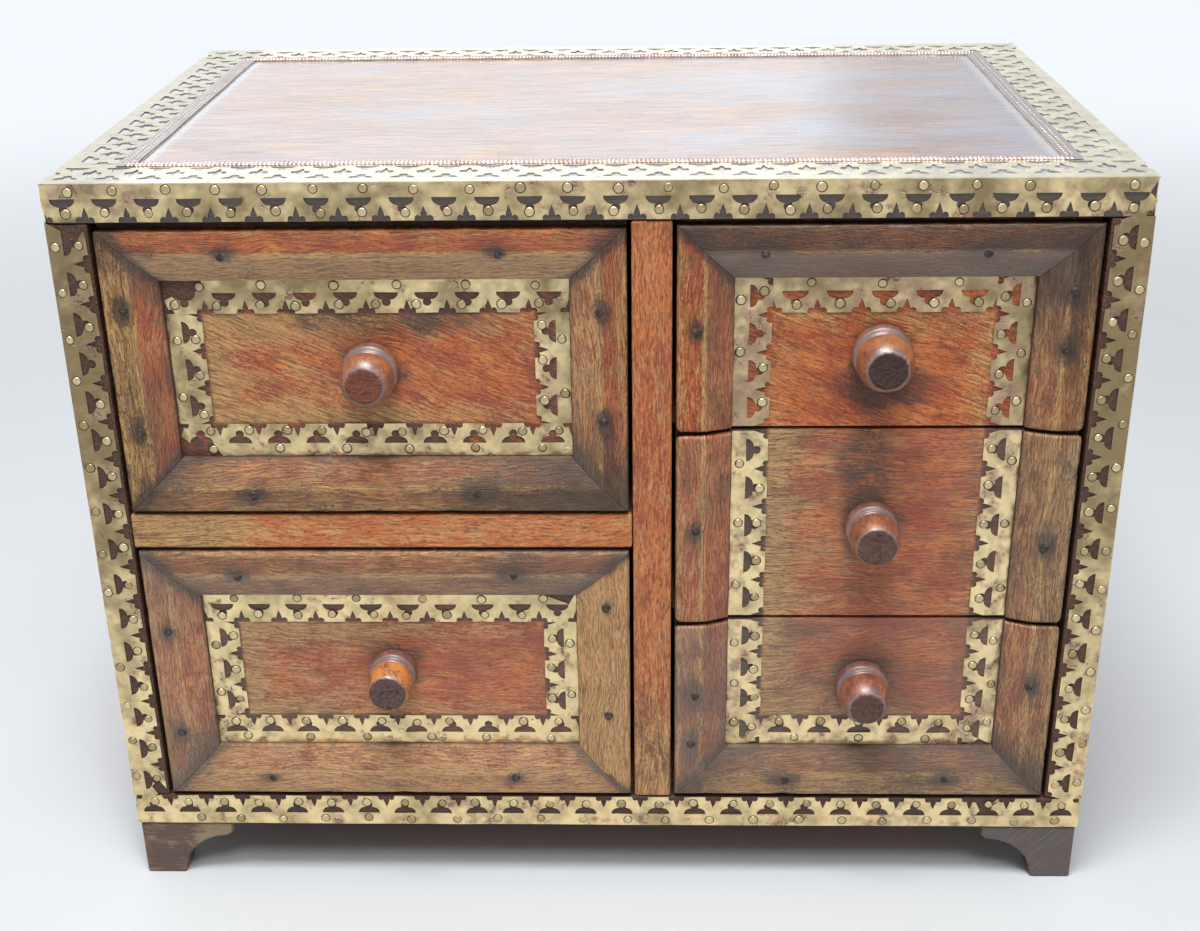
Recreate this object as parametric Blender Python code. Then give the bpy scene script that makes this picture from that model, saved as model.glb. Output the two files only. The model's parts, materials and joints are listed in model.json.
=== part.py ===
"""Small brass-bound chest of five drawers, in metres, +Z up, the front facing -Y.

A carcass of plain boards stands on four bracket feet. A divider makes two bays: two drawers
with a rail between them on the left, three drawers on the right whose fronts share one mitred
frame. Pierced sheet brass edges the front, the top and every drawer panel, plain strips the sides.
The origin is on the floor, in the middle of the box that the whole chest fills.
"""

from math import cos, pi, radians, sin

import bmesh
import bpy
from mathutils import Matrix, Vector

# Driving dimensions: the whole chest
WIDTH = 0.400  # over the brass on both sides
DEPTH = 0.260  # from the brass on the front to the back of the boards
BODY_HEIGHT = 0.280  # from the underside of the bottom board to the brass on the top
FOOT_HEIGHT = 0.026

# Boards of the carcass
SIDE_THICKNESS = 0.0145
TOP_THICKNESS = 0.0145
BOTTOM_THICKNESS = 0.0145
DIVIDER_THICKNESS = 0.0150
RAIL_THICKNESS = 0.0144
SHELF_THICKNESS = 0.0070
BACK_THICKNESS = 0.0060
LEFT_BAY_WIDTH = 0.1976
REBATE_WIDTH = 0.0070  # how far the back panel reaches into the boards round it
HOUSING_DEPTH = 0.0040  # how far rail and shelves are let into the uprights
HOUSING_STOP = 0.0100  # how far behind the front of rail and shelves their housings begin

# Fits
SEAT_GAP = 0.0003  # between pieces that are nailed or rest on each other
FRONT_GAP = 0.0016  # round a drawer front
SPLIT_GAP = 0.0015  # between the fronts that share one frame
STOP_GAP = 0.0010  # behind a closed drawer
HEADROOM = 0.0060  # above the sides of a drawer

# Sheet brass
BRASS_THICKNESS = 0.0007
STRIP_WIDTH = 0.0142
TOP_BAND_WIDTH = 0.0284
PANEL_STRIP_WIDTH = 0.0132
BRAID_WIDTH = 0.0045  # copper braid along the front and back of the top panel
LACE_WIDTH = 0.0070  # embossed copper strip along its left and right
TRIM_THICKNESS = 0.0008

# Piercings of the sheet brass
PIERCING_PITCH = 0.0155
STRIP_MARGIN = 0.0054  # plain brass between the outer edge and the bowls
BOWL_WIDTH = 0.0096
BOWL_DEPTH = 0.0027
NECK_WIDTH = 0.0030  # where a bowl runs out into its lobe
LOBE_WIDTH = 0.0038
LOBE_WEB = 0.0014  # brass between a lobe and the inner edge
NOTCH_WIDTH = 0.0072
NOTCH_HEIGHT = 0.0050
STAR_POINTS = 4
STAR_REACH = 0.0052
STAR_WAIST = 0.0017

# Drawers
PANEL_THICKNESS = 0.0120
LAP_DEPTH = 0.0050  # rebate at the ends of a front that takes the sides
DRAWER_SIDE_THICKNESS = 0.0080
DRAWER_BACK_THICKNESS = 0.0080
DRAWER_BOTTOM_THICKNESS = 0.0050

# Mitred moulding on the drawer fronts
MOULDING_FLAT = 0.0106  # width of the level outer part
MOULDING_SLOPE = 0.0106  # width of the part that falls towards the panel
MOULDING_DROP = 0.0041  # height of that fall
MOULDING_LIP = 0.0026  # height of the step from its foot down to the panel
MOULDING_BULGE = 0.0005
MOULDING_ROUND = 0.0015  # worn outer edge
MITRE_GROOVE = 0.0003  # depth and half width of the line along a mitre

# Turned knobs
KNOB_TENON_RADIUS = 0.0040
KNOB_COLLAR_RADIUS = 0.0108
KNOB_COLLAR_LENGTH = 0.0060
KNOB_COLLAR_EASE = 0.0006
KNOB_GROOVE_RADIUS = 0.0089
KNOB_GROOVE_LENGTH = 0.0016
KNOB_BARREL_RADIUS = 0.0098
KNOB_BARREL_LENGTH = 0.0126
KNOB_TIP_RADIUS = 0.0064
KNOB_DOME = 0.0007
KNOB_STEPS = 16

# Bracket feet
FOOT_TOE = 0.0170
FOOT_HOLLOW = 0.0200
FOOT_STEP = 0.0022
FOOT_STEP_DROP = 0.0016
FOOT_LIP = 0.0052
FOOT_BOARD = 0.0150

# Worked out from the sizes above
BRASS_SKIN = BRASS_THICKNESS + SEAT_GAP
MOULDING_WIDTH = MOULDING_FLAT + MOULDING_SLOPE
MOULDING_HEIGHT = MOULDING_DROP + MOULDING_LIP
PANEL_RECESS = MOULDING_HEIGHT + SEAT_GAP
KNOB_LENGTH = SEAT_GAP + KNOB_COLLAR_LENGTH + KNOB_GROOVE_LENGTH + KNOB_BARREL_LENGTH + KNOB_DOME
KNOB_PROUD = KNOB_LENGTH - PANEL_RECESS
FRONT_Y = -(DEPTH - KNOB_PROUD) / 2
BACK_Y = FRONT_Y + DEPTH
WOOD_FRONT_Y = FRONT_Y + BRASS_SKIN
BACK_PANEL_Y = BACK_Y - BACK_THICKNESS
WOOD_HALF_WIDTH = WIDTH / 2 - BRASS_SKIN
INNER_HALF_WIDTH = WOOD_HALF_WIDTH - SIDE_THICKNESS
WOOD_BASE_Z = FOOT_HEIGHT
WOOD_TOP_Z = FOOT_HEIGHT + BODY_HEIGHT - BRASS_SKIN
FLOOR_Z = WOOD_BASE_Z + BOTTOM_THICKNESS
CEILING_Z = WOOD_TOP_Z - TOP_THICKNESS
DIVIDER_LEFT_X = -INNER_HALF_WIDTH + LEFT_BAY_WIDTH
DIVIDER_RIGHT_X = DIVIDER_LEFT_X + DIVIDER_THICKNESS
RAIL_LOW_Z = (FLOOR_Z + CEILING_Z - RAIL_THICKNESS) / 2
RAIL_HIGH_Z = RAIL_LOW_Z + RAIL_THICKNESS
THIRD_FRONT_HEIGHT = (CEILING_Z - FLOOR_Z - 2 * FRONT_GAP - 2 * SPLIT_GAP) / 3
LOWER_SPLIT_Z = FLOOR_Z + FRONT_GAP + THIRD_FRONT_HEIGHT + SPLIT_GAP / 2
UPPER_SPLIT_Z = LOWER_SPLIT_Z + SPLIT_GAP + THIRD_FRONT_HEIGHT
SHELF_FRONT_Y = FRONT_Y + PANEL_RECESS + PANEL_THICKNESS + SEAT_GAP
FOOT_LENGTH = FOOT_TOE + FOOT_HOLLOW + FOOT_STEP
BOTH_RAILS = {"top", "bottom"}


def make_material(name, colour, roughness, metallic=0.0):
    material = bpy.data.materials.new(name)
    material.use_nodes = True
    shader = material.node_tree.nodes["Principled BSDF"]
    shader.inputs["Base Color"].default_value = (*colour, 1.0)
    shader.inputs["Roughness"].default_value = roughness
    shader.inputs["Metallic"].default_value = metallic
    return material


def add_object(name, mesh, material, parent=None):
    piece = bpy.data.objects.new(name, mesh)
    bpy.context.scene.collection.objects.link(piece)
    piece.parent = parent
    if material is not None:
        mesh.materials.append(material)
    return piece


def mesh_from(bm):
    """A plain mesh of the bmesh, with its faces pointing out."""
    bmesh.ops.recalc_face_normals(bm, faces=bm.faces)
    mesh = bpy.data.meshes.new("shape")
    bm.to_mesh(mesh)
    bm.free()
    return mesh


def prism_mesh(outline, axis, start, end):
    """Outline extruded along an axis. Its points are (x, y) for Z, (x, z) for Y, (y, z) for X."""
    place = {
        "X": lambda a, b, c: (c, a, b),
        "Y": lambda a, b, c: (a, c, b),
        "Z": lambda a, b, c: (a, b, c),
    }[axis]
    bm = bmesh.new()
    face = bm.faces.new([bm.verts.new(place(a, b, start)) for a, b in outline])
    grown = bmesh.ops.extrude_face_region(bm, geom=[face])
    shift = Vector(place(0, 0, end - start))
    moved = [part for part in grown["geom"] if isinstance(part, bmesh.types.BMVert)]
    bmesh.ops.translate(bm, verts=moved, vec=shift)
    return mesh_from(bm)


def rectangle(low, high):
    return [(low[0], low[1]), (high[0], low[1]), (high[0], high[1]), (low[0], high[1])]


def box_mesh(low, high):
    return prism_mesh(rectangle(low, high), "Z", low[2], high[2])


def board(name, low, high, material, parent=None):
    return add_object(name, box_mesh(low, high), material, parent)


def hide_helper(helper):
    helper.hide_render = True
    helper.display_type = "WIRE"


def cut(piece, cutter_mesh, parent=None):
    """Takes a shape out of a piece."""
    cutter = add_object(f"{piece.name}_cutter", cutter_mesh, None, parent)
    hide_helper(cutter)
    boolean = piece.modifiers.new("cut", "BOOLEAN")
    boolean.operation = "DIFFERENCE"
    boolean.object = cutter


def frame_paths(low, high, rails):
    """The runs of corners round a rectangle (x, z) with a top rail, a bottom rail, both or none.

    A corner is (x, z, inward x, inward z), and a square end of a run moves inwards along one axis.
    Each run comes with whether it closes on itself.
    """
    (x0, z0), (x1, z1) = low, high
    if rails == BOTH_RAILS:
        return [([(x0, z0, 1, 1), (x1, z0, -1, 1), (x1, z1, -1, -1), (x0, z1, 1, -1)], True)]
    if rails == {"top"}:
        return [([(x0, z0, 1, 0), (x0, z1, 1, -1), (x1, z1, -1, -1), (x1, z0, -1, 0)], False)]
    if rails == {"bottom"}:
        return [([(x0, z1, 1, 0), (x0, z0, 1, 1), (x1, z0, -1, 1), (x1, z1, -1, 0)], False)]
    left = [(x0, z0, 1, 0), (x0, z1, 1, 0)]
    right = [(x1, z0, -1, 0), (x1, z1, -1, 0)]
    return [(left, False), (right, False)]


def path_names(name, paths):
    return [name] if len(paths) == 1 else [f"{name}_left", f"{name}_right"]


def stations_along(corners, groove):
    """A run's corners with how far the section sinks there: a groove marks each mitre."""
    stations = []
    for i, (x, z, inward_x, inward_z) in enumerate(corners):
        if not (groove and inward_x and inward_z):
            stations.append((x, z, inward_x, inward_z, 0))
            continue
        here = Vector((x, z))
        before = here + groove * (Vector(corners[i - 1][:2]) - here).normalized()
        after = here + groove * (Vector(corners[(i + 1) % len(corners)][:2]) - here).normalized()
        for point, sink in ((before, 0), (here, groove), (after, 0)):
            stations.append((point.x, point.y, inward_x, inward_z, sink))
    return stations


def swept_mesh(section, path, face_y, groove=0):
    """A section swept round a frame that lies in a plane facing -Y.

    A section point is (distance in from the outer edge, height above face_y).
    """
    corners, closed = path
    bm = bmesh.new()
    rings = []
    for x, z, inward_x, inward_z, sink in stations_along(corners, groove):
        ring = []
        for u, v in section:
            height = max(v - sink, 0)
            ring.append(bm.verts.new((x + inward_x * u, face_y - height, z + inward_z * u)))
        rings.append(ring)
    count = len(section)
    spans = len(rings) if closed else len(rings) - 1
    for i in range(spans):
        here, there = rings[i], rings[(i + 1) % len(rings)]
        for j in range(count):
            k = (j + 1) % count
            bm.faces.new((here[j], here[k], there[k], there[j]))
    if not closed:
        bm.faces.new(rings[0])
        bm.faces.new(rings[-1])
    return mesh_from(bm)


def arc_points(centre, radius_a, radius_b, start, end, steps):
    """Points of an elliptic arc, angles in degrees."""
    points = []
    for i in range(steps + 1):
        angle = radians(start + (end - start) * i / steps)
        points.append((centre[0] + radius_a * cos(angle), centre[1] + radius_b * sin(angle)))
    return points


def strip_section(width):
    return [(0, 0), (0, BRASS_THICKNESS), (width, BRASS_THICKNESS), (width, 0)]


def strip_sides(path, width, through):
    """The straight strips of a frame: where each starts, its axes, its inner edge and its pattern.

    The inner edge and the pattern are stretches (start, end) of the distance along the strip.
    The pattern of a strip along the through axis goes on to the outer corners.
    """
    corners, closed = path
    sides = []
    for i in range(len(corners) if closed else len(corners) - 1):
        x0, z0, *inward_here = corners[i]
        x1, z1, *inward_there = corners[(i + 1) % len(corners)]
        run = Vector((x1 - x0, z1 - z0))
        along = run.normalized()
        inward = Vector(inward_here) - along * along.dot(inward_here)
        inner = (width * along.dot(inward_here), run.length + width * along.dot(inward_there))
        runs_on = abs(along.dot((1, 0) if through == "X" else (0, 1))) > 0.5
        pattern = (0, run.length) if runs_on else inner
        sides.append((Vector((x0, z0)), along, inward, inner, pattern))
    return sides


def repeats(pattern):
    """How often the piercing fits along a stretch, and its pitch there."""
    length = pattern[1] - pattern[0]
    count = max(1, round(length / PIERCING_PITCH))
    return count, length / count


def bowl_outline(width):
    """A flat-topped bowl that runs out into a lobe: (distance along, distance in from the outer edge)."""
    neck_at = STRIP_MARGIN + BOWL_DEPTH
    lobe_end = width - LOBE_WEB
    lobe_at = (neck_at + lobe_end) / 2
    half = [(BOWL_WIDTH / 2, STRIP_MARGIN), (NECK_WIDTH / 2, neck_at), (LOBE_WIDTH / 2, lobe_at)]
    other_half = [(-along, inward) for along, inward in reversed(half)]
    return [*half, (0, lobe_end), *other_half]


def star_outline(width):
    """A star in the middle of a wide band."""
    points = []
    for i in range(2 * STAR_POINTS):
        radius = STAR_WAIST if i % 2 else STAR_REACH
        angle = i * pi / STAR_POINTS
        points.append((radius * cos(angle), width / 2 + radius * sin(angle)))
    return points


def notch_outline(width):
    return [(-NOTCH_WIDTH / 2, width), (0, width - NOTCH_HEIGHT), (NOTCH_WIDTH / 2, width)]


def pierced_mesh(path, width, through, face_y, hole_outline, notched):
    """Sheet brass round a frame in a plane facing -Y, with a row of holes.

    A notched one also has its inner edge cut between the holes.
    """
    corners, closed = path
    inner_edge, holes = [], []
    sides = strip_sides(path, width, through)
    for origin, along, inward, inner, pattern in sides:
        count, pitch = repeats(pattern)
        inner_edge.append(origin + along * inner[0] + inward * width)
        for i in range(1, count if notched else 0):
            middle = pattern[0] + i * pitch
            if inner[0] + NOTCH_WIDTH < middle < inner[1] - NOTCH_WIDTH:
                for a, b in notch_outline(width):
                    inner_edge.append(origin + along * (middle + a) + inward * b)
        for i in range(count):
            middle = pattern[0] + (i + 0.5) * pitch
            holes.append([origin + along * (middle + a) + inward * b for a, b in hole_outline(width)])
    if not closed:
        origin, along, inward, inner, _ = sides[-1]
        inner_edge.append(origin + along * inner[1] + inward * width)
    outer_edge = [Vector(corner[:2]) for corner in corners]
    outlines = [outer_edge, inner_edge] if closed else [[*outer_edge, *reversed(inner_edge)]]
    return plate_mesh([*outlines, *holes], face_y, BRASS_THICKNESS)


def plate_mesh(outlines, face_y, thickness):
    """A flat plate in a plane facing -Y, inside its first outline (x, z) and outside the others."""
    bm = bmesh.new()
    for outline in outlines:
        verts = [bm.verts.new((x, face_y, z)) for x, z in outline]
        for here, there in zip(verts, [*verts[1:], verts[0]]):
            bm.edges.new((here, there))
    bmesh.ops.triangle_fill(bm, use_beauty=True, edges=bm.edges, normal=(0, -1, 0))
    grown = bmesh.ops.extrude_face_region(bm, geom=bm.faces)
    moved = [part for part in grown["geom"] if isinstance(part, bmesh.types.BMVert)]
    bmesh.ops.translate(bm, verts=moved, vec=(0, -thickness, 0))
    return mesh_from(bm)


def moulding_section():
    """Level outer part with a worn edge, then a bulging fall to a low lip beside the panel."""
    centre = (MOULDING_ROUND, MOULDING_HEIGHT - MOULDING_ROUND)
    worn_edge = arc_points(centre, MOULDING_ROUND, MOULDING_ROUND, 180, 90, 2)
    fall = []
    steps = 4
    for i in range(steps + 1):
        share = i / steps
        bulge = MOULDING_BULGE * 4 * share * (1 - share)
        height = MOULDING_HEIGHT - MOULDING_DROP * share + bulge
        fall.append((MOULDING_FLAT + MOULDING_SLOPE * share, height))
    return [(0, 0), *worn_edge, *fall, (MOULDING_WIDTH, 0)]


def knob_section():
    """(distance out from the panel, radius) of a knob, from the back of its tenon to its tip."""
    collar_end = SEAT_GAP + KNOB_COLLAR_LENGTH
    barrel_start = collar_end + KNOB_GROOVE_LENGTH
    eased = KNOB_COLLAR_RADIUS - KNOB_COLLAR_EASE
    tenon = [(-PANEL_THICKNESS, KNOB_TENON_RADIUS), (SEAT_GAP, KNOB_TENON_RADIUS)]
    collar = [
        (SEAT_GAP, eased),
        ((SEAT_GAP + collar_end) / 2, KNOB_COLLAR_RADIUS),
        (collar_end, eased),
    ]
    groove = [((collar_end + barrel_start) / 2, KNOB_GROOVE_RADIUS)]
    taper = KNOB_BARREL_RADIUS - KNOB_TIP_RADIUS
    barrel = arc_points((barrel_start, KNOB_TIP_RADIUS), KNOB_BARREL_LENGTH, taper, 90, 0, 4)
    return [*tenon, *collar, *groove, *barrel]


def turned_mesh(section, steps, tip):
    """A section turned about the Y axis; the tip closes the front end."""
    bm = bmesh.new()
    rings = []
    for out, radius in section:
        angles = [2 * pi * i / steps for i in range(steps)]
        rings.append([bm.verts.new((radius * cos(a), -out, radius * sin(a))) for a in angles])
    for here, there in zip(rings, rings[1:]):
        for i in range(steps):
            k = (i + 1) % steps
            bm.faces.new((here[i], here[k], there[k], there[i]))
    bm.faces.new(rings[0])
    point = bm.verts.new((0, -tip, 0))
    for i in range(steps):
        bm.faces.new((rings[-1][i], rings[-1][(i + 1) % steps], point))
    mesh = mesh_from(bm)
    mesh.shade_smooth()
    mesh.set_sharp_from_angle(angle=radians(40))
    return mesh


def build_carcass(wood, brass):
    """Top and bottom boards over and under two sides and a divider."""
    front, back = WOOD_FRONT_Y, BACK_Y
    half = WOOD_HALF_WIDTH
    side_low, side_high = FLOOR_Z + SEAT_GAP, CEILING_Z - SEAT_GAP
    top = board("top_board", (-half, front, CEILING_Z), (half, back, WOOD_TOP_Z), wood)
    bottom = board("bottom_board", (-half, front, WOOD_BASE_Z), (half, back, FLOOR_Z), wood)
    left = board("left_side", (-half, front, side_low), (-INNER_HALF_WIDTH, back, side_high), wood)
    right = board("right_side", (INNER_HALF_WIDTH, front, side_low), (half, back, side_high), wood)
    divider_high = (DIVIDER_RIGHT_X, BACK_PANEL_Y - SEAT_GAP, side_high)
    divider = board("centre_divider", (DIVIDER_LEFT_X, front, side_low), divider_high, wood)
    build_back_panel([top, bottom, left, right], wood)
    build_shelves(left, divider, right, wood)
    build_carcass_brass(brass)


def build_back_panel(neighbours, wood):
    """The back panel lies in a rebate that runs round the back of the carcass."""
    reach_x = INNER_HALF_WIDTH + REBATE_WIDTH
    low_z, high_z = FLOOR_Z - REBATE_WIDTH, CEILING_Z + REBATE_WIDTH
    board("back_panel", (-reach_x, BACK_PANEL_Y, low_z), (reach_x, BACK_Y, high_z), wood)
    low = (-reach_x - SEAT_GAP, BACK_PANEL_Y - SEAT_GAP, low_z - SEAT_GAP)
    high = (reach_x + SEAT_GAP, BACK_Y + BACK_THICKNESS, high_z + SEAT_GAP)
    for neighbour in neighbours:
        cut(neighbour, box_mesh(low, high))


def build_shelves(left, divider, right, wood):
    """A rail board on the left and two thin shelves on the right, in stopped housings in the uprights."""
    shelf_back = BACK_PANEL_Y - SEAT_GAP
    past_back = BACK_Y + BACK_THICKNESS
    left_bay = (-INNER_HALF_WIDTH, DIVIDER_LEFT_X)
    right_bay = (DIVIDER_RIGHT_X, INNER_HALF_WIDTH)
    lower_z = LOWER_SPLIT_Z - SHELF_THICKNESS / 2
    upper_z = UPPER_SPLIT_Z - SHELF_THICKNESS / 2
    rail = ("left_rail", left_bay, WOOD_FRONT_Y, RAIL_LOW_Z, RAIL_THICKNESS, (left, divider))
    lower = ("right_lower_shelf", right_bay, SHELF_FRONT_Y, lower_z, SHELF_THICKNESS, (divider, right))
    upper = ("right_upper_shelf", right_bay, SHELF_FRONT_Y, upper_z, SHELF_THICKNESS, (divider, right))
    for name, bay, front, low_z, thickness, uprights in (rail, lower, upper):
        x0, x1 = bay[0] - HOUSING_DEPTH, bay[1] + HOUSING_DEPTH
        high_z = low_z + thickness
        stop = front + HOUSING_STOP
        neck = rectangle((bay[0] + SEAT_GAP, front), (bay[1] - SEAT_GAP, stop))
        tongue = [(x1, stop), (x1, shelf_back), (x0, shelf_back), (x0, stop)]
        outline = [neck[0], neck[1], neck[2], *tongue, neck[3]]
        add_object(name, prism_mesh(outline, "Z", low_z, high_z), wood)
        housing_low = (x0 - SEAT_GAP, stop - SEAT_GAP, low_z - SEAT_GAP)
        housing_high = (x1 + SEAT_GAP, past_back, high_z + SEAT_GAP)
        for upright in uprights:
            cut(upright, box_mesh(housing_low, housing_high))


def build_carcass_brass(brass):
    """Strips nailed round the front, the top and both sides."""
    narrow = strip_section(STRIP_WIDTH)
    half = WIDTH / 2

    [path] = frame_paths((-half, WOOD_BASE_Z), (half, WOOD_TOP_Z), BOTH_RAILS)
    front_face = WOOD_FRONT_Y - SEAT_GAP
    front = pierced_mesh(path, STRIP_WIDTH, "X", front_face, bowl_outline, notched=True)
    add_object("front_brass_border", front, brass)

    [path] = frame_paths((-half, FRONT_Y), (half, BACK_Y), BOTH_RAILS)
    bands = pierced_mesh(path, TOP_BAND_WIDTH, "X", 0, star_outline, notched=False)
    top = add_object("top_brass_border", bands, brass)
    top.rotation_euler.x = -pi / 2
    top.location.z = WOOD_TOP_Z + SEAT_GAP

    [path] = frame_paths((WOOD_FRONT_Y, WOOD_BASE_Z), (BACK_Y, WOOD_TOP_Z), BOTH_RAILS)
    right = add_object("right_side_brass_border", swept_mesh(narrow, path, 0), brass)
    right.rotation_euler.z = pi / 2
    right.location.x = WOOD_HALF_WIDTH + SEAT_GAP

    [path] = frame_paths((-BACK_Y, WOOD_BASE_Z), (-WOOD_FRONT_Y, WOOD_TOP_Z), BOTH_RAILS)
    left = add_object("left_side_brass_border", swept_mesh(narrow, path, 0), brass)
    left.rotation_euler.z = -pi / 2
    left.location.x = -WOOD_HALF_WIDTH - SEAT_GAP


def build_copper_trim(copper):
    """Braid and embossed strips that lie on the inner edge of the top bands."""
    half = WIDTH / 2 - TOP_BAND_WIDTH
    front, back = FRONT_Y + TOP_BAND_WIDTH, BACK_Y - TOP_BAND_WIDTH
    inner_edge = rectangle((-half, front), (half, back))
    outer_half = half + LACE_WIDTH
    outer_edge = rectangle((-outer_half, front - BRAID_WIDTH), (outer_half, back + BRAID_WIDTH))
    trim = add_object("top_copper_trim", plate_mesh([outer_edge, inner_edge], 0, TRIM_THICKNESS), copper)
    trim.rotation_euler.x = -pi / 2
    trim.location.z = WOOD_TOP_Z + BRASS_SKIN + SEAT_GAP


def foot_outline():
    """Bracket foot seen square on: (distance from the corner, height), with a hollow under its step."""
    step_z = FOOT_HEIGHT - FOOT_LIP
    hollow_top = step_z - FOOT_STEP_DROP
    hollow = arc_points((FOOT_TOE + FOOT_HOLLOW, 0), FOOT_HOLLOW, hollow_top, 90, 180, 6)
    top = FOOT_HEIGHT - SEAT_GAP
    return [(0, 0), (0, top), (FOOT_LENGTH, top), (FOOT_LENGTH, step_z), *hollow]


def build_feet(wood):
    """Each foot is a front and a side bracket joined at the corner."""
    outline = foot_outline()
    ends = (("front", -1, WOOD_FRONT_Y), ("back", 1, BACK_Y))
    for end_name, sign_y, edge_y in ends:
        for side_name, sign_x in (("left", -1), ("right", 1)):
            name = f"{end_name}_{side_name}_foot"
            edge_x = sign_x * WOOD_HALF_WIDTH
            across = [(edge_x - sign_x * u, z) for u, z in outline]
            along = [(edge_y - sign_y * u, z) for u, z in outline]
            across_mesh = prism_mesh(across, "Y", edge_y, edge_y - sign_y * FOOT_BOARD)
            along_mesh = prism_mesh(along, "X", edge_x, edge_x - sign_x * FOOT_BOARD)
            foot = add_object(name, across_mesh, wood)
            wing = add_object(f"{name}_wing", along_mesh, None)
            hide_helper(wing)
            union = foot.modifiers.new("wing", "BOOLEAN")
            union.operation = "UNION"
            union.object = wing


def build_drawer(name, bay, levels, rails, materials):
    """One drawer in its own frame, whose origin is the centre of the front, level with the brass.

    bay is (left x, right x); levels is (floor z, ceiling z, low edge and high edge of the front);
    rails says which rails of the moulded frame the front has.
    """
    floor_z, ceiling_z, front_low_z, front_high_z = levels
    half = (bay[1] - bay[0]) / 2 - FRONT_GAP
    half_height = (front_high_z - front_low_z) / 2
    middle_z = (front_low_z + front_high_z) / 2
    body = bpy.data.objects.new(name, None)
    bpy.context.scene.collection.objects.link(body)
    body.location = ((bay[0] + bay[1]) / 2, FRONT_Y, middle_z)

    build_drawer_box(name, body, half, floor_z - middle_z, ceiling_z - middle_z, materials["lining"])
    front = add_object(f"{name}_front", front_mesh(half, half_height), materials["wood"], body)

    paths = frame_paths((-half, -half_height), (half, half_height), rails)
    for piece_name, path in zip(path_names(f"{name}_moulding", paths), paths):
        mesh = swept_mesh(moulding_section(), path, MOULDING_HEIGHT, MITRE_GROOVE)
        add_object(piece_name, mesh, materials["frame"], body)

    inset = MOULDING_WIDTH + SEAT_GAP
    panel_low_z = -half_height + (inset if "bottom" in rails else SEAT_GAP)
    panel_high_z = half_height - (inset if "top" in rails else SEAT_GAP)
    paths = frame_paths((-half + inset, panel_low_z), (half - inset, panel_high_z), rails)
    for piece_name, path in zip(path_names(f"{name}_brass_border", paths), paths):
        through = "X" if rails == BOTH_RAILS else "Z"
        mesh = pierced_mesh(path, PANEL_STRIP_WIDTH, through, MOULDING_HEIGHT, bowl_outline, notched=True)
        add_object(piece_name, mesh, materials["brass"], body)

    build_knob(name, body, front, (panel_low_z + panel_high_z) / 2, materials["knob"])


def front_mesh(half, half_height):
    """The front board, rebated at both ends of its back for the sides."""
    face, back = PANEL_RECESS, PANEL_RECESS + PANEL_THICKNESS
    lap = back - LAP_DEPTH
    shoulder = half - DRAWER_SIDE_THICKNESS
    right_end = [(half, face), (half, lap), (shoulder, lap), (shoulder, back)]
    left_end = [(-x, y) for x, y in reversed(right_end)]
    return prism_mesh([*right_end, *left_end], "Z", -half_height, half_height)


def build_drawer_box(name, body, half, floor_z, ceiling_z, wood):
    """Sides, back and bottom. The drawer runs on its bottom board."""
    front_back = PANEL_RECESS + PANEL_THICKNESS
    side_front = front_back - LAP_DEPTH + SEAT_GAP
    rear = BACK_PANEL_Y - STOP_GAP - FRONT_Y
    bottom_low = floor_z + SEAT_GAP
    bottom_high = bottom_low + DRAWER_BOTTOM_THICKNESS
    low_z, high_z = bottom_high + SEAT_GAP, ceiling_z - HEADROOM
    side_in = half - DRAWER_SIDE_THICKNESS + SEAT_GAP
    back_half = side_in - SEAT_GAP
    back_front = rear - DRAWER_BACK_THICKNESS
    bottom = ((-half, front_back + SEAT_GAP, bottom_low), (half, rear, bottom_high))
    board(f"{name}_bottom", *bottom, wood, body)
    board(f"{name}_left_side", (-half, side_front, low_z), (-side_in, rear, high_z), wood, body)
    board(f"{name}_right_side", (side_in, side_front, low_z), (half, rear, high_z), wood, body)
    board(f"{name}_back", (-back_half, back_front, low_z), (back_half, rear, high_z), wood, body)


def build_knob(name, body, front, knob_z, wood):
    """A turned knob whose tenon goes through the front."""
    knob_mesh = turned_mesh(knob_section(), KNOB_STEPS, KNOB_LENGTH)
    knob = add_object(f"{name}_knob", knob_mesh, wood, body)
    knob.location = (0, PANEL_RECESS, knob_z)
    hole_radius = KNOB_TENON_RADIUS + SEAT_GAP
    reach = 2 * PANEL_THICKNESS
    hole = turned_mesh([(-reach, hole_radius), (PANEL_THICKNESS, hole_radius)], KNOB_STEPS, reach)
    hole.transform(Matrix.Translation((0, PANEL_RECESS, knob_z)))
    cut(front, hole, body)


def build_drawers(materials):
    """Two drawers on the left, each with a whole frame, and three on the right that share one."""
    left_bay = (-INNER_HALF_WIDTH, DIVIDER_LEFT_X)
    right_bay = (DIVIDER_RIGHT_X, INNER_HALF_WIDTH)
    shelf, split = SHELF_THICKNESS / 2, SPLIT_GAP / 2
    lowest, highest = FLOOR_Z + FRONT_GAP, CEILING_Z - FRONT_GAP
    upper_left = (RAIL_HIGH_Z, CEILING_Z, RAIL_HIGH_Z + FRONT_GAP, highest)
    lower_left = (FLOOR_Z, RAIL_LOW_Z, lowest, RAIL_LOW_Z - FRONT_GAP)
    upper_right = (UPPER_SPLIT_Z + shelf, CEILING_Z, UPPER_SPLIT_Z + split, highest)
    middle_right = (
        LOWER_SPLIT_Z + shelf,
        UPPER_SPLIT_Z - shelf,
        LOWER_SPLIT_Z + split,
        UPPER_SPLIT_Z - split,
    )
    lower_right = (FLOOR_Z, LOWER_SPLIT_Z - shelf, lowest, LOWER_SPLIT_Z - split)
    build_drawer("upper_left_drawer", left_bay, upper_left, BOTH_RAILS, materials)
    build_drawer("lower_left_drawer", left_bay, lower_left, BOTH_RAILS, materials)
    build_drawer("upper_right_drawer", right_bay, upper_right, {"top"}, materials)
    build_drawer("middle_right_drawer", right_bay, middle_right, set(), materials)
    build_drawer("lower_right_drawer", right_bay, lower_right, {"bottom"}, materials)


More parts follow.
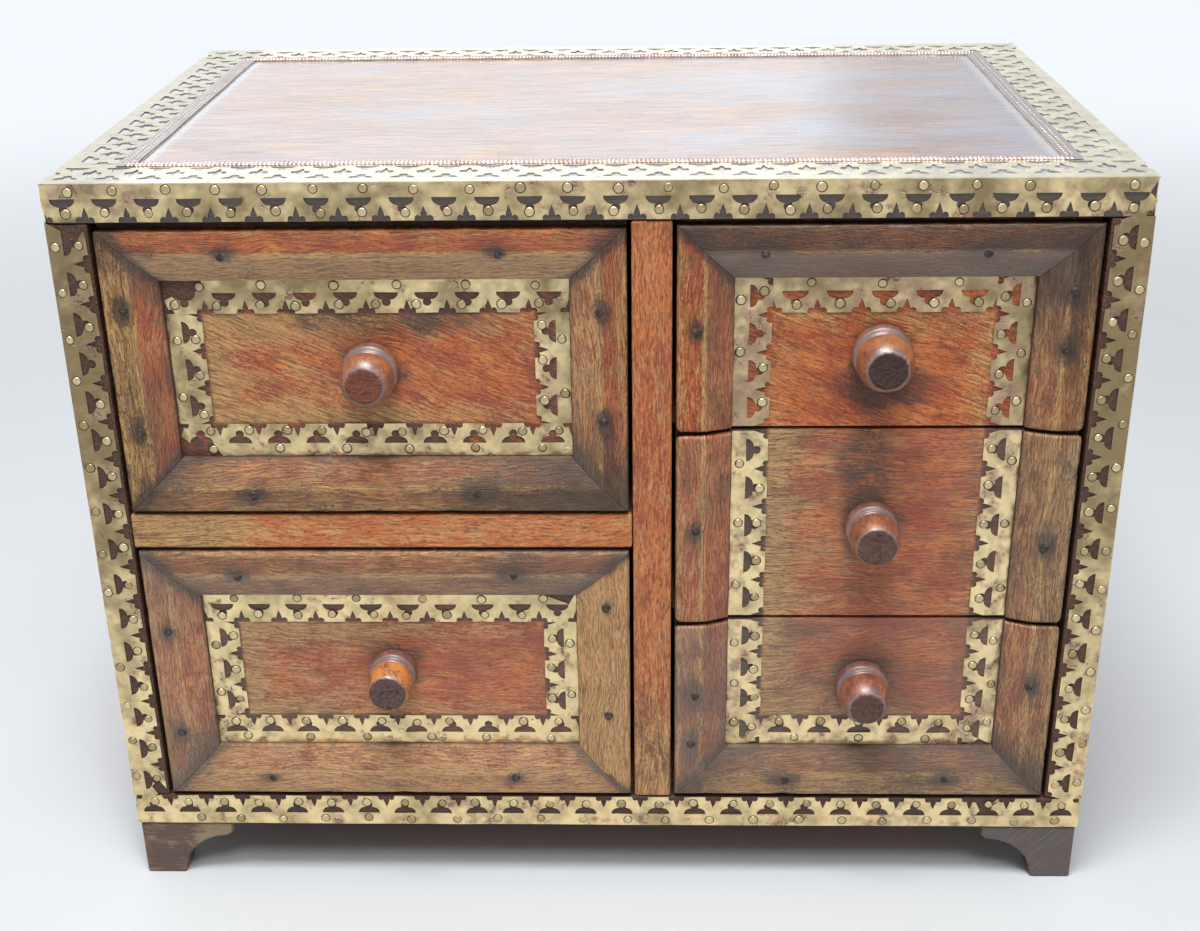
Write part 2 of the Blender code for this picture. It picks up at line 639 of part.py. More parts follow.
def main():
    for old in list(bpy.data.objects):
        bpy.data.objects.remove(old)
    materials = {
        "wood": make_material("hardwood", (0.32, 0.11, 0.042), 0.45),
        "frame": make_material("frame_wood", (0.26, 0.095, 0.038), 0.42),
        "lining": make_material("lining_wood", (0.30, 0.16, 0.08), 0.6),
        "foot": make_material("foot_wood", (0.10, 0.065, 0.05), 0.6),
        "knob": make_material("knob_wood", (0.24, 0.07, 0.03), 0.3),
        "brass": make_material("sheet_brass", (0.55, 0.44, 0.20), 0.35, 1.0),
        "copper": make_material("copper_trim", (0.62, 0.40, 0.34), 0.4, 1.0),
    }
    build_carcass(materials["wood"], materials["brass"])
    build_copper_trim(materials["copper"])
    build_feet(materials["foot"])
    build_drawers(materials)


main()
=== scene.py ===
"""Looks of a small brass-bound chest of five drawers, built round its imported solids.

The file follows the chest as it is put together: carcass, feet, drawer boxes, panels, mouldings,
knobs, pierced brass, nails and copper trim. Metres, +Z up, the front facing -Y.
"""

import json
from collections import namedtuple
from math import cos, exp, pi, radians, sin, sqrt

import bmesh
import bpy
from mathutils import Matrix, Vector, noise

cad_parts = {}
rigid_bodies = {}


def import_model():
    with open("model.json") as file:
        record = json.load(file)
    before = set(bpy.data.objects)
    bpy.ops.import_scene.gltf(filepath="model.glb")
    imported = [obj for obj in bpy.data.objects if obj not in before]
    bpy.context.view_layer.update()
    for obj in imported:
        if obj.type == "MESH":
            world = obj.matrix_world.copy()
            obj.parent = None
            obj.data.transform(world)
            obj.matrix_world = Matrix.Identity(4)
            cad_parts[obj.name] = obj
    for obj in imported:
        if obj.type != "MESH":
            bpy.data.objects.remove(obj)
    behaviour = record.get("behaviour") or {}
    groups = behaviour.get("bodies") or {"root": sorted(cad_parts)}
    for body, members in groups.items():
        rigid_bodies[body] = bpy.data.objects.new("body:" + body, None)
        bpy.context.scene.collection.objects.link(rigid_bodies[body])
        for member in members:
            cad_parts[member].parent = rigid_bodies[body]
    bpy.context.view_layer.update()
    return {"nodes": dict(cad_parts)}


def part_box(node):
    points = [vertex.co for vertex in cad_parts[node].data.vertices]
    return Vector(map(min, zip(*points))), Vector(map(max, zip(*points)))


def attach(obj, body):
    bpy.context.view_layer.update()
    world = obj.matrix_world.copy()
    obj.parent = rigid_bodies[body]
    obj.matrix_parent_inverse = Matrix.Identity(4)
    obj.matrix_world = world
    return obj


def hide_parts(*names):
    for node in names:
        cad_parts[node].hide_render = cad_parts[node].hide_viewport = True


for leftover in list(bpy.data.objects):
    bpy.data.objects.remove(leftover)
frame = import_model()


# Studio
# A plain pale table top that runs out into a white surround, a lamp overhead, one in front and a
# wide weak one behind, and the camera where the photograph was taken from.


class Wire:
    """A socket in a node tree. Arithmetic on it adds Math nodes, and node() adds any other kind."""

    def __init__(self, socket):
        self.socket = socket
        self.tree = socket.id_data

    def node(self, kind, settings=None, inputs=None, output=0):
        """The chosen output of a new node, whose settings come first and its sockets after them."""
        made = self.tree.nodes.new(kind)
        for name, value in (settings or {}).items():
            setattr(made, name, value)
        for key, value in (inputs or {}).items():
            if isinstance(value, Wire):
                self.tree.links.new(value.socket, made.inputs[key])
            else:
                made.inputs[key].default_value = value
        return Wire(made.outputs[output])

    def math(self, operation, first, second):
        return self.node("ShaderNodeMath", {"operation": operation}, {0: first, 1: second})

    def vector(self, operation, other):
        return self.node("ShaderNodeVectorMath", {"operation": operation}, {0: self, 1: other})

    def __add__(self, other):
        return self.math("ADD", self, other)

    def __sub__(self, other):
        return self.math("SUBTRACT", self, other)

    def __rsub__(self, other):
        return self.math("SUBTRACT", other, self)

    def __mul__(self, other):
        return self.math("MULTIPLY", self, other)

    def __truediv__(self, other):
        return self.math("DIVIDE", self, other)

    def __rtruediv__(self, other):
        return self.math("DIVIDE", other, self)

    def __abs__(self):
        return self.math("ABSOLUTE", self, 0.0)

    __radd__ = __add__
    __rmul__ = __mul__


def srgb(red, green, blue):
    """A linear colour from the 0 to 255 values that the eye sees."""
    linear = []
    for part in (red, green, blue):
        share = part / 255
        linear.append(share / 12.92 if share <= 0.04045 else ((share + 0.055) / 1.055) ** 2.4)
    return (*linear, 1.0)


def fade(value, start, end):
    """0 at start and 1 at end, with a smooth rise between."""
    inputs = {"Value": value, "From Min": start, "From Max": end}
    return value.node("ShaderNodeMapRange", {"interpolation_type": "SMOOTHSTEP"}, inputs)


def cloud(place, size, detail=3.0):
    """Noise whose patches have the given size along each axis of place."""
    inputs = {"Vector": place.vector("DIVIDE", size), "Scale": 1.0, "Detail": detail}
    return place.node("ShaderNodeTexNoise", {}, inputs)


def blend(colour, other, mask):
    """The first colour where the mask is 0 and the other where it is 1."""
    return mask.node("ShaderNodeMix", {"data_type": "RGBA"}, {0: mask, 6: colour, 7: other}, output=2)


def axes(vector):
    first = vector.node("ShaderNodeSeparateXYZ", inputs={0: vector})
    return [Wire(output) for output in first.socket.node.outputs]


def join_axes(x, y, z):
    return x.node("ShaderNodeCombineXYZ", inputs={0: x, 1: y, 2: z})


def new_material(name):
    """A material and the wire of its Object coordinates."""
    material = bpy.data.materials.new(name)
    material.use_nodes = True
    coordinates = material.node_tree.nodes.new("ShaderNodeTexCoord")
    return material, Wire(coordinates.outputs["Object"])


def shader_of(material):
    return material.node_tree.nodes["Principled BSDF"]


def set_fixed(material, **values):
    """Sets what is the same all over; a name such as Coat_IOR stands for the socket Coat IOR."""
    for name, value in values.items():
        shader_of(material).inputs[name.replace("_", " ")].default_value = value


def feed(material, name, wire):
    """Joins a wire to a socket of the material's shader."""
    material.node_tree.links.new(wire.socket, shader_of(material).inputs[name])


def add_object(name, data):
    piece = bpy.data.objects.new(name, data)
    bpy.context.scene.collection.objects.link(piece)
    return piece


SURROUND = (0.90, 0.95, 0.99, 1.0)
ROOM_LIGHT = (0.46, 0.48, 0.51, 1.0)
ROOM_DIM = (0.09, 0.09, 0.10, 1.0)
TABLE_WHITE = (0.61, 0.63, 0.65, 1.0)
TABLE_SEEN = (0.570, 0.592, 0.610, 1.0)
TABLE_HALF = 4.0
TABLE_DROP = 0.0002
TABLE_NEAR, TABLE_FAR = 0.55, 1.6


def ray(wire, kind):
    """1 on rays of a kind, such as Camera or Glossy."""
    return wire.node("ShaderNodeLightPath", output=f"Is {kind} Ray")


def light_surround():
    """A soft dim room, which shows as a white surround to the camera, in metal and through glass."""
    world = bpy.data.worlds.new("surround")
    bpy.context.scene.world = world
    world.use_nodes = True
    background = world.node_tree.nodes["Background"]
    shown = ray(Wire(background.outputs[0]), "Camera")
    for kind in ("Glossy", "Transmission"):
        shown = shown.math("MAXIMUM", shown, ray(shown, kind))
    up = axes(shown.node("ShaderNodeTexCoord", output="Generated"))[2]
    room = blend(ROOM_DIM, ROOM_LIGHT, fade(up, -0.05, 0.75))
    world.node_tree.links.new(blend(room, SURROUND, shown).socket, background.inputs["Color"])


def lay_table():
    """A pale table top that turns into the surround far from the chest."""
    mesh = bpy.data.meshes.new("table_top")
    corners = ((-1, -1), (1, -1), (1, 1), (-1, 1))
    points = [(TABLE_HALF * x, TABLE_HALF * y, -TABLE_DROP) for x, y in corners]
    mesh.from_pydata(points, [], [(0, 1, 2, 3)])
    material, place = new_material("pale_table")
    set_fixed(material, Roughness=0.6)
    feed(material, "Base Color", blend(TABLE_WHITE, TABLE_SEEN, ray(place, "Camera")))
    plain = Wire(shader_of(material).outputs[0])
    glow = place.node("ShaderNodeEmission", inputs={"Color": SURROUND})
    reach = place.node("ShaderNodeVectorMath", {"operation": "LENGTH"}, {0: place}, output="Value")
    far = fade(reach, TABLE_NEAR, TABLE_FAR) * ray(reach, "Camera")
    mixed = far.node("ShaderNodeMixShader", inputs={0: far, 1: plain, 2: glow})
    output = material.node_tree.nodes["Material Output"]
    material.node_tree.links.new(mixed.socket, output.inputs["Surface"])
    mesh.materials.append(material)
    add_object("table_top", mesh)


def add_lamp(name, place, aim, size, watts):
    lamp = bpy.data.lights.new(name, "AREA")
    lamp.shape = "RECTANGLE"
    lamp.size, lamp.size_y = size
    lamp.energy = watts
    holder = add_object(name, lamp)
    holder.location = place
    holder.rotation_euler = (Vector(aim) - Vector(place)).to_track_quat("-Z", "Y").to_euler()


light_surround()
lay_table()
add_lamp("overhead_lamp", (-0.10, -0.50, 1.65), (0.0, -0.10, 0.15), (0.60, 0.46), 25.0)
add_lamp("front_lamp", (0.30, -1.35, 2.1), (0.0, 0.0, 0.15), (0.75, 0.55), 17.0)
add_lamp("back_lamp", (-0.85, 1.75, 1.05), (-0.10, 0.0, 0.3), (2.7, 0.9), 7.2)

camera_data = bpy.data.cameras.new("photo_camera")
camera_data.sensor_width = 36.0
camera_data.lens = 49.44
camera = add_object("photo_camera", camera_data)
camera.location = (0.0197, -0.6971, 0.4552)
camera.rotation_euler = (radians(65.573), radians(0.809), radians(1.532))
bpy.context.scene.camera = camera
bpy.context.scene.view_settings.view_transform = "Standard"


# Carcass boards
# Old reddish hardwood boards, planed by hand, nailed together and polished with oil and wax. The
# finish has gone ochre where it is rubbed bare and black with soot and handling in the corners.

MILLIMETRES = 1000.0
RED_WOOD = srgb(164, 66, 32)
BROWN_WOOD = srgb(118, 78, 46)
ORANGE_WOOD = srgb(202, 114, 54)
# Bare rubbed wood, also the colour of a painted highlight along the moulding ridges.
BARE_WOOD_AND_HIGHLIGHT = srgb(203, 160, 99)
LINE_RED = srgb(104, 42, 24)
PORE_BROWN = srgb(58, 32, 20)
# Grey haze of old wax, also a painted sheen on the sloping faces of the mouldings.
WAX_BLOOM_AND_SHEEN = srgb(162, 145, 133)
# Soot, also the colour of painted shade in creases, recesses and under a knob.
SOOT_AND_SHADE = srgb(40, 34, 32)
# Each polish has its roughness, the depth of the grain and the weight of the wax.
RUBBED_FACE = (0.40, 0.0002, 0.10)
WAXED_BOARD = (0.40, 0.0002, 0.15)
POLISHED_TOP = (0.26, 0.00005, 0.74)
POLISHED_TOP_IOR = 1.6


def grain(coordinates, order, shift=(0.0, 0.0, 0.0), tilt=0.0, stretch=(1.0, 1.0, 1.0)):
    """Millimetres along, across and into the grain; order names the axis for each."""
    parts = dict(zip("XYZ", axes(coordinates)))
    turned = join_axes(*[parts[axis] for axis in order])
    scale = [MILLIMETRES / part for part in stretch]
    inputs = {"Vector": turned, "Location": shift, "Rotation": (0.0, 0.0, tilt), "Scale": scale}
    return turned.node("ShaderNodeMapping", {}, inputs)


def dress(material, colour, roughness, height, depth):
    """Joins the wires of a finish to the material's shader; depth is how far height 1 stands out."""
    bump = height.node("ShaderNodeBump", {}, {"Height": height, "Strength": 1.0, "Distance": depth})
    for name, wire in (("Base Color", colour), ("Roughness", roughness), ("Normal", bump)):
        feed(material, name, wire)


def aged_wood(material, place, red, bare_and_highlight, soot_and_shade, bloom_and_sheen=0.0, orange=0.0, polish=RUBBED_FACE):
    """Old polished hardwood. red, bare and soot are amounts, as numbers or wires, 0.5 in the middle;
    soot also carries painted shade, and bare a painted highlight on moulding ridges. bloom, from 0
    up, is the grey haze of old wax and partly a painted sheen, and orange how far the red has faded."""
    lustre, depth, coat = polish
    sway = cloud(place, (60.0, 22.0, 22.0), 2.0)
    x, y, z = axes(place)
    lines = join_axes(x, y + sway * 14.0, z)
    broad = cloud(lines, (34.0, 13.0, 13.0), 5.0)
    streak = cloud(lines, (10.0, 0.9, 0.9))
    line = fade(cloud(lines, (30.0, 0.90, 0.90)), 0.53, 0.66)
    fleck = fade(cloud(lines, (3.2, 0.55, 0.55), 1.5), 0.50, 0.64)
    pore = fade(cloud(lines, (7.0, 0.45, 0.45), 1.0), 0.55, 0.66)
    mottle = cloud(place, (12.0, 8.0, 8.0), 7.0)
    hue = cloud(place, (20.0, 13.0, 13.0), 6.0)
    speck = cloud(place, (1.4, 0.8, 0.8))

    faded = fade(hue * 0.60 + streak * 0.20 + speck * 0.20 + orange, 0.38, 0.60)
    rubbed = fade(streak * 0.30 + mottle * 0.40 + speck * 0.30 + bare_and_highlight, 0.93, 1.12)
    soot_and_shade_mask = fade(mottle * 0.50 + speck * 0.50 + soot_and_shade, 0.97, 1.20)
    warm = blend(RED_WOOD, ORANGE_WOOD, faded)
    colour = blend(BROWN_WOOD, warm, fade(broad * 0.5 + mottle * 0.5 + red, 0.80, 1.12))
    # Bare wood where rubbed, and on moulding ridges a painted highlight.
    colour = blend(colour, BARE_WOOD_AND_HIGHLIGHT, rubbed * 0.80)
    colour = blend(colour, PORE_BROWN, fade(streak * 0.5 + speck * 0.5, 0.55, 0.40) * 0.22)
    colour = blend(colour, LINE_RED, fleck * (0.62 - 0.20 * rubbed))
    colour = blend(colour, PORE_BROWN, line * (0.08 + 0.34 * rubbed))
    colour = blend(colour, PORE_BROWN, pore * (0.86 - 1.05 * red))
    # Soot, and painted shade where creases, recesses and a knob's shadow feed the amount.
    colour = blend(colour, SOOT_AND_SHADE, soot_and_shade_mask * 0.84)
    # Wax haze, which on the mouldings' falls is also a painted sheen.
    colour = blend(colour, WAX_BLOOM_AND_SHEEN, (mottle * 0.6 + 0.2) * bloom_and_sheen)

    roughness = lustre + rubbed * 0.12 + soot_and_shade_mask * 0.16 + pore * 0.10
    height = streak * 0.5 + speck * 0.5 - pore * 0.8 - fleck * 0.4 - line * 0.3 - soot_and_shade_mask * 0.3
    set_fixed(material, Coat_Weight=coat, Coat_Roughness=0.25, Specular_IOR_Level=0.38)
    dress(material, colour, roughness, height, depth)


def nearest(first, *others):
    """The least of some wires."""
    for other in others:
        first = first.math("MINIMUM", first, other)
    return first


def from_edges(wire, low, high):
    """Distance in from the nearer of two edges."""
    return nearest(wire - low, high - wire)


def ease_edges(node, width):
    """Rounds the arrises of a board."""
    weld = node.modifiers.new("weld", "WELD")
    weld.merge_threshold = 0.00001
    flatten = node.modifiers.new("flatten", "DECIMATE")
    flatten.decimate_type = "DISSOLVE"
    flatten.angle_limit = radians(1.0)
    bevel = node.modifiers.new("ease", "BEVEL")
    bevel.width = width
    bevel.segments = 2
    bevel.limit_method = "ANGLE"


def finish_node(name, material, ease=0.0):
    node = frame["nodes"][name]
    node.data.materials.clear()
    node.data.materials.append(material)
    if ease:
        ease_edges(node, ease)


# The axes along, across and into each board's grain, where in the tree it was cut, and its amounts of
# red, bare wood and soot.
BOARDS = {
    "left_side": ("YZX", (0.0, 0.0, 0.0), 0.48, 0.47, 0.42),
    "right_side": ("YZX", (310.0, 40.0, 0.0), 0.48, 0.47, 0.42),
    "bottom_board": ("XYZ", (90.0, 70.0, 0.0), 0.45, 0.42, 0.48),
    "back_panel": ("XZY", (500.0, 20.0, 0.0), 0.38, 0.44, 0.46),
    "top_board": ("XYZ", (20.0, 400.0, 0.0), 0.30, 0.46, 0.42),
}
BOARD_FIGURE = (3.6, 1.5, 1.5)
BOARD_EASE = 0.0007
UNDER_BRASS = 0.30
# Bluish grey of old wax haze on the top, also a painted reflection of the bright room.
TOP_HAZE_AND_REFLECTION = srgb(118, 126, 146)
# Pale grey under the top bands: dust, and a painted milky sheen in the piercings.
BAND_DUST_AND_SHEEN = srgb(150, 156, 168)


def under_strips(name, place):
    """1 where brass covers a board: all round on a side, and along the front edge on the others."""
    _, y, z = axes(place)
    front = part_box(name)[0].y
    covered = fade(y, front + 0.012, front + 0.004)
    if not name.endswith("_side"):
        return covered
    low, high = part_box(f"{name}_brass_border")
    inset = nearest(from_edges(y, low.y, high.y), from_edges(z, low.z, high.z))
    return covered.math("MAXIMUM", covered, fade(inset, 0.0160, 0.0125))


def lay_haze_and_reflection(material, place):
    """Lays the haze of old wax, with a painted bluish reflection that grows to the right, on the open
    middle of the top board, and dust with a painted milky sheen under its bands.
    """
    low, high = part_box("top_board")
    x, y, z = axes(place)
    inset = nearest(from_edges(x, low.x, high.x), from_edges(y, low.y, high.y))
    upper_face = fade(z, high.z - 0.0012, high.z - 0.0004)
    open_top = fade(inset, 0.0290, 0.0330) * upper_face
    patch = cloud(grain(place, "XYZ"), (70.0, 40.0, 40.0))
    # Haze and painted reflection, heavier to the right.
    haze_and_reflection = fade(x * 3.0 + patch, 0.50, 1.05) * 0.40 + fade(patch, 0.30, 0.70) * 0.40
    plain = Wire(shader_of(material).inputs["Base Color"].links[0].from_socket)
    colour = blend(plain, TOP_HAZE_AND_REFLECTION, haze_and_reflection * open_top)
    feed(material, "Base Color", blend(colour, BAND_DUST_AND_SHEEN, (upper_face - open_top) * 0.8))
    set_fixed(material, Coat_IOR=POLISHED_TOP_IOR)


for board_name, (order, shift, red, bare_and_highlight, soot_and_shade) in BOARDS.items():
    board_material, board_place = new_material(f"{board_name}_wood")
    board_grain = grain(board_place, order, shift, stretch=BOARD_FIGURE)
    if board_name != "back_panel":
        soot_and_shade = under_strips(board_name, board_place) * UNDER_BRASS + soot_and_shade
    is_top = board_name == "top_board"
    polish = POLISHED_TOP if is_top else WAXED_BOARD
    aged_wood(board_material, board_grain, red, bare_and_highlight, soot_and_shade, polish=polish)
    if is_top:
        lay_haze_and_reflection(board_material, board_place)
    finish_node(board_name, board_material, BOARD_EASE)


# Rail and divider
# The rail between the left drawers and the upright beside them are plain lengths of the same wood,
# let into grooves that stop short of the front. Their faces are rubbed to a bright orange brown.

RAIL_EASE = 0.0009


def behind_front(y):
    """Darkening that grows behind the front edge of the upright and the rail."""
    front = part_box("centre_divider")[0].y
    return fade(y, front + 0.0006, front + 0.0040) * 0.5


divider_material, divider_place = new_material("divider_wood")
_, divider_y, divider_z = axes(divider_place)
worn_foot = fade(divider_z, 0.11, 0.05)
aged_wood(
    divider_material,
    grain(divider_place, "ZXY", (40.0, 210.0, 0.0)),
    red=0.62 - worn_foot * 0.18,
    bare_and_highlight=0.45 + worn_foot * 0.13,
    soot_and_shade=behind_front(divider_y) + 0.38,
    bloom_and_sheen=0.16,
    orange=0.09,
)
finish_node("centre_divider", divider_material, RAIL_EASE)

rail_material, rail_place = new_material("rail_wood")
rail_x, rail_y, _ = axes(rail_place)
bright = fade(rail_x, -0.155, -0.125)
aged_wood(
    rail_material,
    grain(rail_place, "XZY", (150.0, 30.0, 0.0)),
    red=0.38 + bright * 0.40,
    bare_and_highlight=0.62 - bright * 0.14,
    soot_and_shade=behind_front(rail_y) + 0.26,
    bloom_and_sheen=0.10,
    orange=0.14,
)
finish_node("left_rail", rail_material, RAIL_EASE)


# Feet
# Four bracket feet sawn from thick board, dark with dirt and damp, glued and nailed under the
# corners. The left ones are rubbed to a khaki brown; the right ones are grey and marked by the saw, and
# painted darker as in shade.

FOOT_DARK = srgb(82, 66, 58)
FOOT_RED = srgb(112, 74, 58)
FOOT_KHAKI = srgb(150, 134, 104)
FOOT_ORANGE = srgb(156, 92, 46)
# Grey of the right feet, darkened as painted shade.
FOOT_GREY_AND_SHADE = srgb(84, 76, 75)
SAW_GREY = srgb(120, 112, 110)
SAW_SLANT = radians(-48.0)
FOOT_EASE = 0.0011


def foot_wood():
    material, coordinates = new_material("dirty_foot_wood")
    place = grain(coordinates, "XZY")
    x = axes(place)[0]
    patch = cloud(place, (9.0, 7.0, 9.0), 4.0)
    fine = cloud(place, (4.0, 0.9, 0.9))
    saw = cloud(grain(coordinates, "XZY", tilt=SAW_SLANT), (30.0, 0.8, 0.8), 2.0)
    stain = fade(cloud(place, (11.0, 6.0, 11.0), 2.0), 0.64, 0.74)
    on_right = fade(x, -20.0, 20.0)
    thin_end = fade(abs(x), 180.0, 164.0)
    # The right feet lose the khaki and go grey: saw-marked wood and painted shade.
    rubbed = fade(patch * 0.6 + fine * 0.4 + thin_end * 0.16, 0.46, 0.68) * (1.0 - on_right * 0.85)
    colour = blend(FOOT_DARK, FOOT_RED, fade(fine * 0.5 + patch * 0.5, 0.42, 0.60))
    colour = blend(colour, FOOT_KHAKI, rubbed * 0.70)
    colour = blend(colour, FOOT_ORANGE, stain * 0.8)
    sawn = blend(FOOT_GREY_AND_SHADE, SAW_GREY, fade(saw, 0.52, 0.70) * 0.6)
    colour = blend(colour, sawn, on_right * 0.85)
    dress(material, colour, 0.55 + rubbed * 0.15, fine + patch + saw * on_right, 0.0004)
    return material


foot_material = foot_wood()
for foot_name in ("front_left_foot", "front_right_foot", "back_left_foot", "back_right_foot"):
    finish_node(foot_name, foot_material, FOOT_EASE)


# Drawer boxes and shelves
# Thin boards of plain pale wood, lapped and nailed behind each front and left unpolished, with two
# like shelves between the right drawers. They have gone brown with age and dusty in the corners.

DRAWERS = (
    "upper_left_drawer",
    "lower_left_drawer",
    "upper_right_drawer",
    "middle_right_drawer",
    "lower_right_drawer",
)
LINING_PALE = srgb(150, 108, 70)
LINING_BROWN = srgb(112, 74, 46)
LINING_LINE = srgb(78, 48, 30)
LINING_EASE = 0.0006
BOTTOM_EASE = 0.0004


def lining_wood(name, order):
    material, coordinates = new_material(name)
    place = grain(coordinates, order)
    streak = cloud(place, (80.0, 3.0, 3.0))
    fibre = cloud(place, (18.0, 0.7, 0.7), 2.0)
    dust = cloud(place, (30.0, 22.0, 22.0), 4.0)
    colour = blend(LINING_PALE, LINING_BROWN, fade(streak * 0.5 + dust * 0.5, 0.38, 0.64))
    colour = blend(colour, LINING_LINE, fade(fibre, 0.54, 0.74) * 0.5)
    dress(material, colour, 0.62 + dust * 0.12, fibre + streak * 0.5, 0.00015)
    return material


lining_along_y = lining_wood("lining_along_depth", "YZX")
lining_flat_y = lining_wood("lining_bottoms", "YXZ")
lining_along_x = lining_wood("lining_across", "XZY")
for drawer in DRAWERS:
    finish_node(f"{drawer}_left_side", lining_along_y, LINING_EASE)
    finish_node(f"{drawer}_right_side", lining_along_y, LINING_EASE)
    finish_node(f"{drawer}_back", lining_along_x, LINING_EASE)
    finish_node(f"{drawer}_bottom", lining_flat_y, BOTTOM_EASE)
for shelf in ("right_lower_shelf", "right_upper_shelf"):
    finish_node(shelf, lining_flat_y, LINING_EASE)


# Drawer fronts
# One board of figured hardwood for each front. The panel between the brass strips is rubbed to
# ochre along its edges and dark with handling round the knob.

# Which mouldings and strips a front has besides its left and right ones.
RAILS = {
    "upper_left_drawer": ("top", "bottom"),
    "lower_left_drawer": ("top", "bottom"),
    "upper_right_drawer": ("top",),
    "middle_right_drawer": (),
    "lower_right_drawer": ("bottom",),
}
# Each front's amounts of red, bare wood, soot and bloom, how the bare wood grows to the right and how
# dirty it is under the strips; the tilt of its grain in degrees; and a dark mark near its knob, grime
# and on the upper right drawer also a painted shadow below the knob: how far right and up, how wide
# and tall, in millimetres, and how strong.
PANELS = {
    "upper_left_drawer": ((0.58, 0.48, 0.42, 0.10, -0.05, 0.24), 22.0, (10.0, 20.0, 46.0, 10.0, 0.19)),
    "lower_left_drawer": ((0.57, 0.46, 0.41, 0.32, -0.06, 0.38), 4.0, (0.0, 12.0, 30.0, 12.0, 0.05)),
    "upper_right_drawer": ((0.65, 0.44, 0.41, 0.05, 0.02, 0.12), 20.0, (1.0, -14.0, 26.0, 13.0, 0.29)),
    "middle_right_drawer": ((0.48, 0.47, 0.47, 0.24, -0.09, 0.30), 2.0, (-4.0, 24.0, 14.0, 26.0, 0.20)),
    "lower_right_drawer": ((0.43, 0.42, 0.47, 0.42, -0.12, 0.34), -4.0, (2.0, 10.0, 22.0, 8.0, 0.08)),
}
STRIP_BEDS = 0.0150
HANDLED_SIZE = (18.0, 17.0)
HANDLED_SOOT = 0.20
LEAN_REACH = 45.0


def mound(x, z, centre, radii):
    """1 at the centre of an ellipse and 0 from its edge outwards."""
    across, up = (x - centre[0]) / radii[0], (z - centre[1]) / radii[1]
    return fade(across * across + up * up, 1.0, 0.0)


def in_from_strips(drawer, x, z):
    """Distance in from the outer edge of a front's brass strips."""
    boxes = [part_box(name) for name in frame["nodes"] if name.startswith(f"{drawer}_brass_border")]
    inset = from_edges(x, min(low.x for low, high in boxes), max(high.x for low, high in boxes))
    low, high = boxes[0]
    if "top" in RAILS[drawer]:
        inset = nearest(inset, high.z - z)
    if "bottom" in RAILS[drawer]:
        inset = nearest(inset, z - low.z)
    return inset


for index, (drawer, (look, tilt, knob_mark)) in enumerate(PANELS.items()):
    red, bare_and_highlight, soot_and_shade, bloom_and_sheen, lean, dirt = look
    knob_mark_right, knob_mark_up, knob_mark_wide, knob_mark_tall, knob_mark_strength = knob_mark
    knob_low, knob_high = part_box(f"{drawer}_knob")
    knob_x, _, knob_z = (knob_low + knob_high) / 2 * MILLIMETRES
    panel_material, panel_place = new_material(f"{drawer}_panel_wood")
    panel_x, _, panel_z = axes(panel_place)
    inset = in_from_strips(drawer, panel_x, panel_z)
    bed = fade(inset, STRIP_BEDS, STRIP_BEDS - 0.003)
    rim = fade(inset, STRIP_BEDS + 0.016, STRIP_BEDS - 0.002) - bed
    x_mm, z_mm = panel_x * MILLIMETRES, panel_z * MILLIMETRES
    handled = mound(x_mm, z_mm, (knob_x, knob_z), HANDLED_SIZE) * HANDLED_SOOT
    knob_mark_centre = (knob_x + knob_mark_right, knob_z + knob_mark_up)
    # A dark mark near the knob: grime, and below the upper right knob a painted shadow of it.
    grime_and_knob_shadow = mound(x_mm, z_mm, knob_mark_centre, (knob_mark_wide, knob_mark_tall)) * knob_mark_strength
    leaning = (x_mm - knob_x) * (lean / LEAN_REACH)
    aged_wood(
        panel_material,
        grain(panel_place, "XZY", (230.0 * index, 170.0 * index, 90.0 * index), radians(tilt)),
        red=red + 0.10 - rim * 0.18 - bed * 0.06 - leaning,
        bare_and_highlight=bare_and_highlight - 0.03 + rim * 0.12 - bed * 0.14 + leaning,
        soot_and_shade=handled + grime_and_knob_shadow + bed * dirt + soot_and_shade,
        bloom_and_sheen=bloom_and_sheen,
    )
    finish_node(f"{drawer}_front", panel_material)


# Mitred mouldings
# Lengths of hardwood moulding, level outside and falling to the panel, mitred at the corners and
# held by iron nails whose rust has stained the wood black. Every length is a different piece.

bar_low, bar_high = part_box("middle_right_drawer_moulding_left")
BAR_WIDTH = bar_high.x - bar_low.x
BAR_HEIGHT = bar_high.y - bar_low.y
BAR_BASE_Y = bar_high.y
BAR_LEVEL = 0.0104
BAR_LIP = 0.0026
BAR_WORN_EDGE = 0.0017
BAR_RIDGE = 0.0012
BAR_BULGE = 0.00035
BAR_STEP = 0.0028
BAR_END_STEPS = (0.0, 0.0003, 0.0008, 0.0016)
BAR_END_ROUND = 0.0012
MITRE_GAP = 0.00012
STILE_ROUND = 0.0024
RIPPLE_DEEP = 0.00016
NICK_DEEP = 0.0009
RUST_LONG = 0.0045
RUST_WIDE = 0.0026
# How much lower the frame of a drawer is than its opening was cut for.
TOP_WEAR = {"upper_left_drawer": 0.0017, "upper_right_drawer": 0.0006}
FRONTWARD = Vector((0.0, -1.0, 0.0))
WAXED_MOULDING = (0.38, 0.00022, 0.14)
NEXT_LENGTH = 0.37
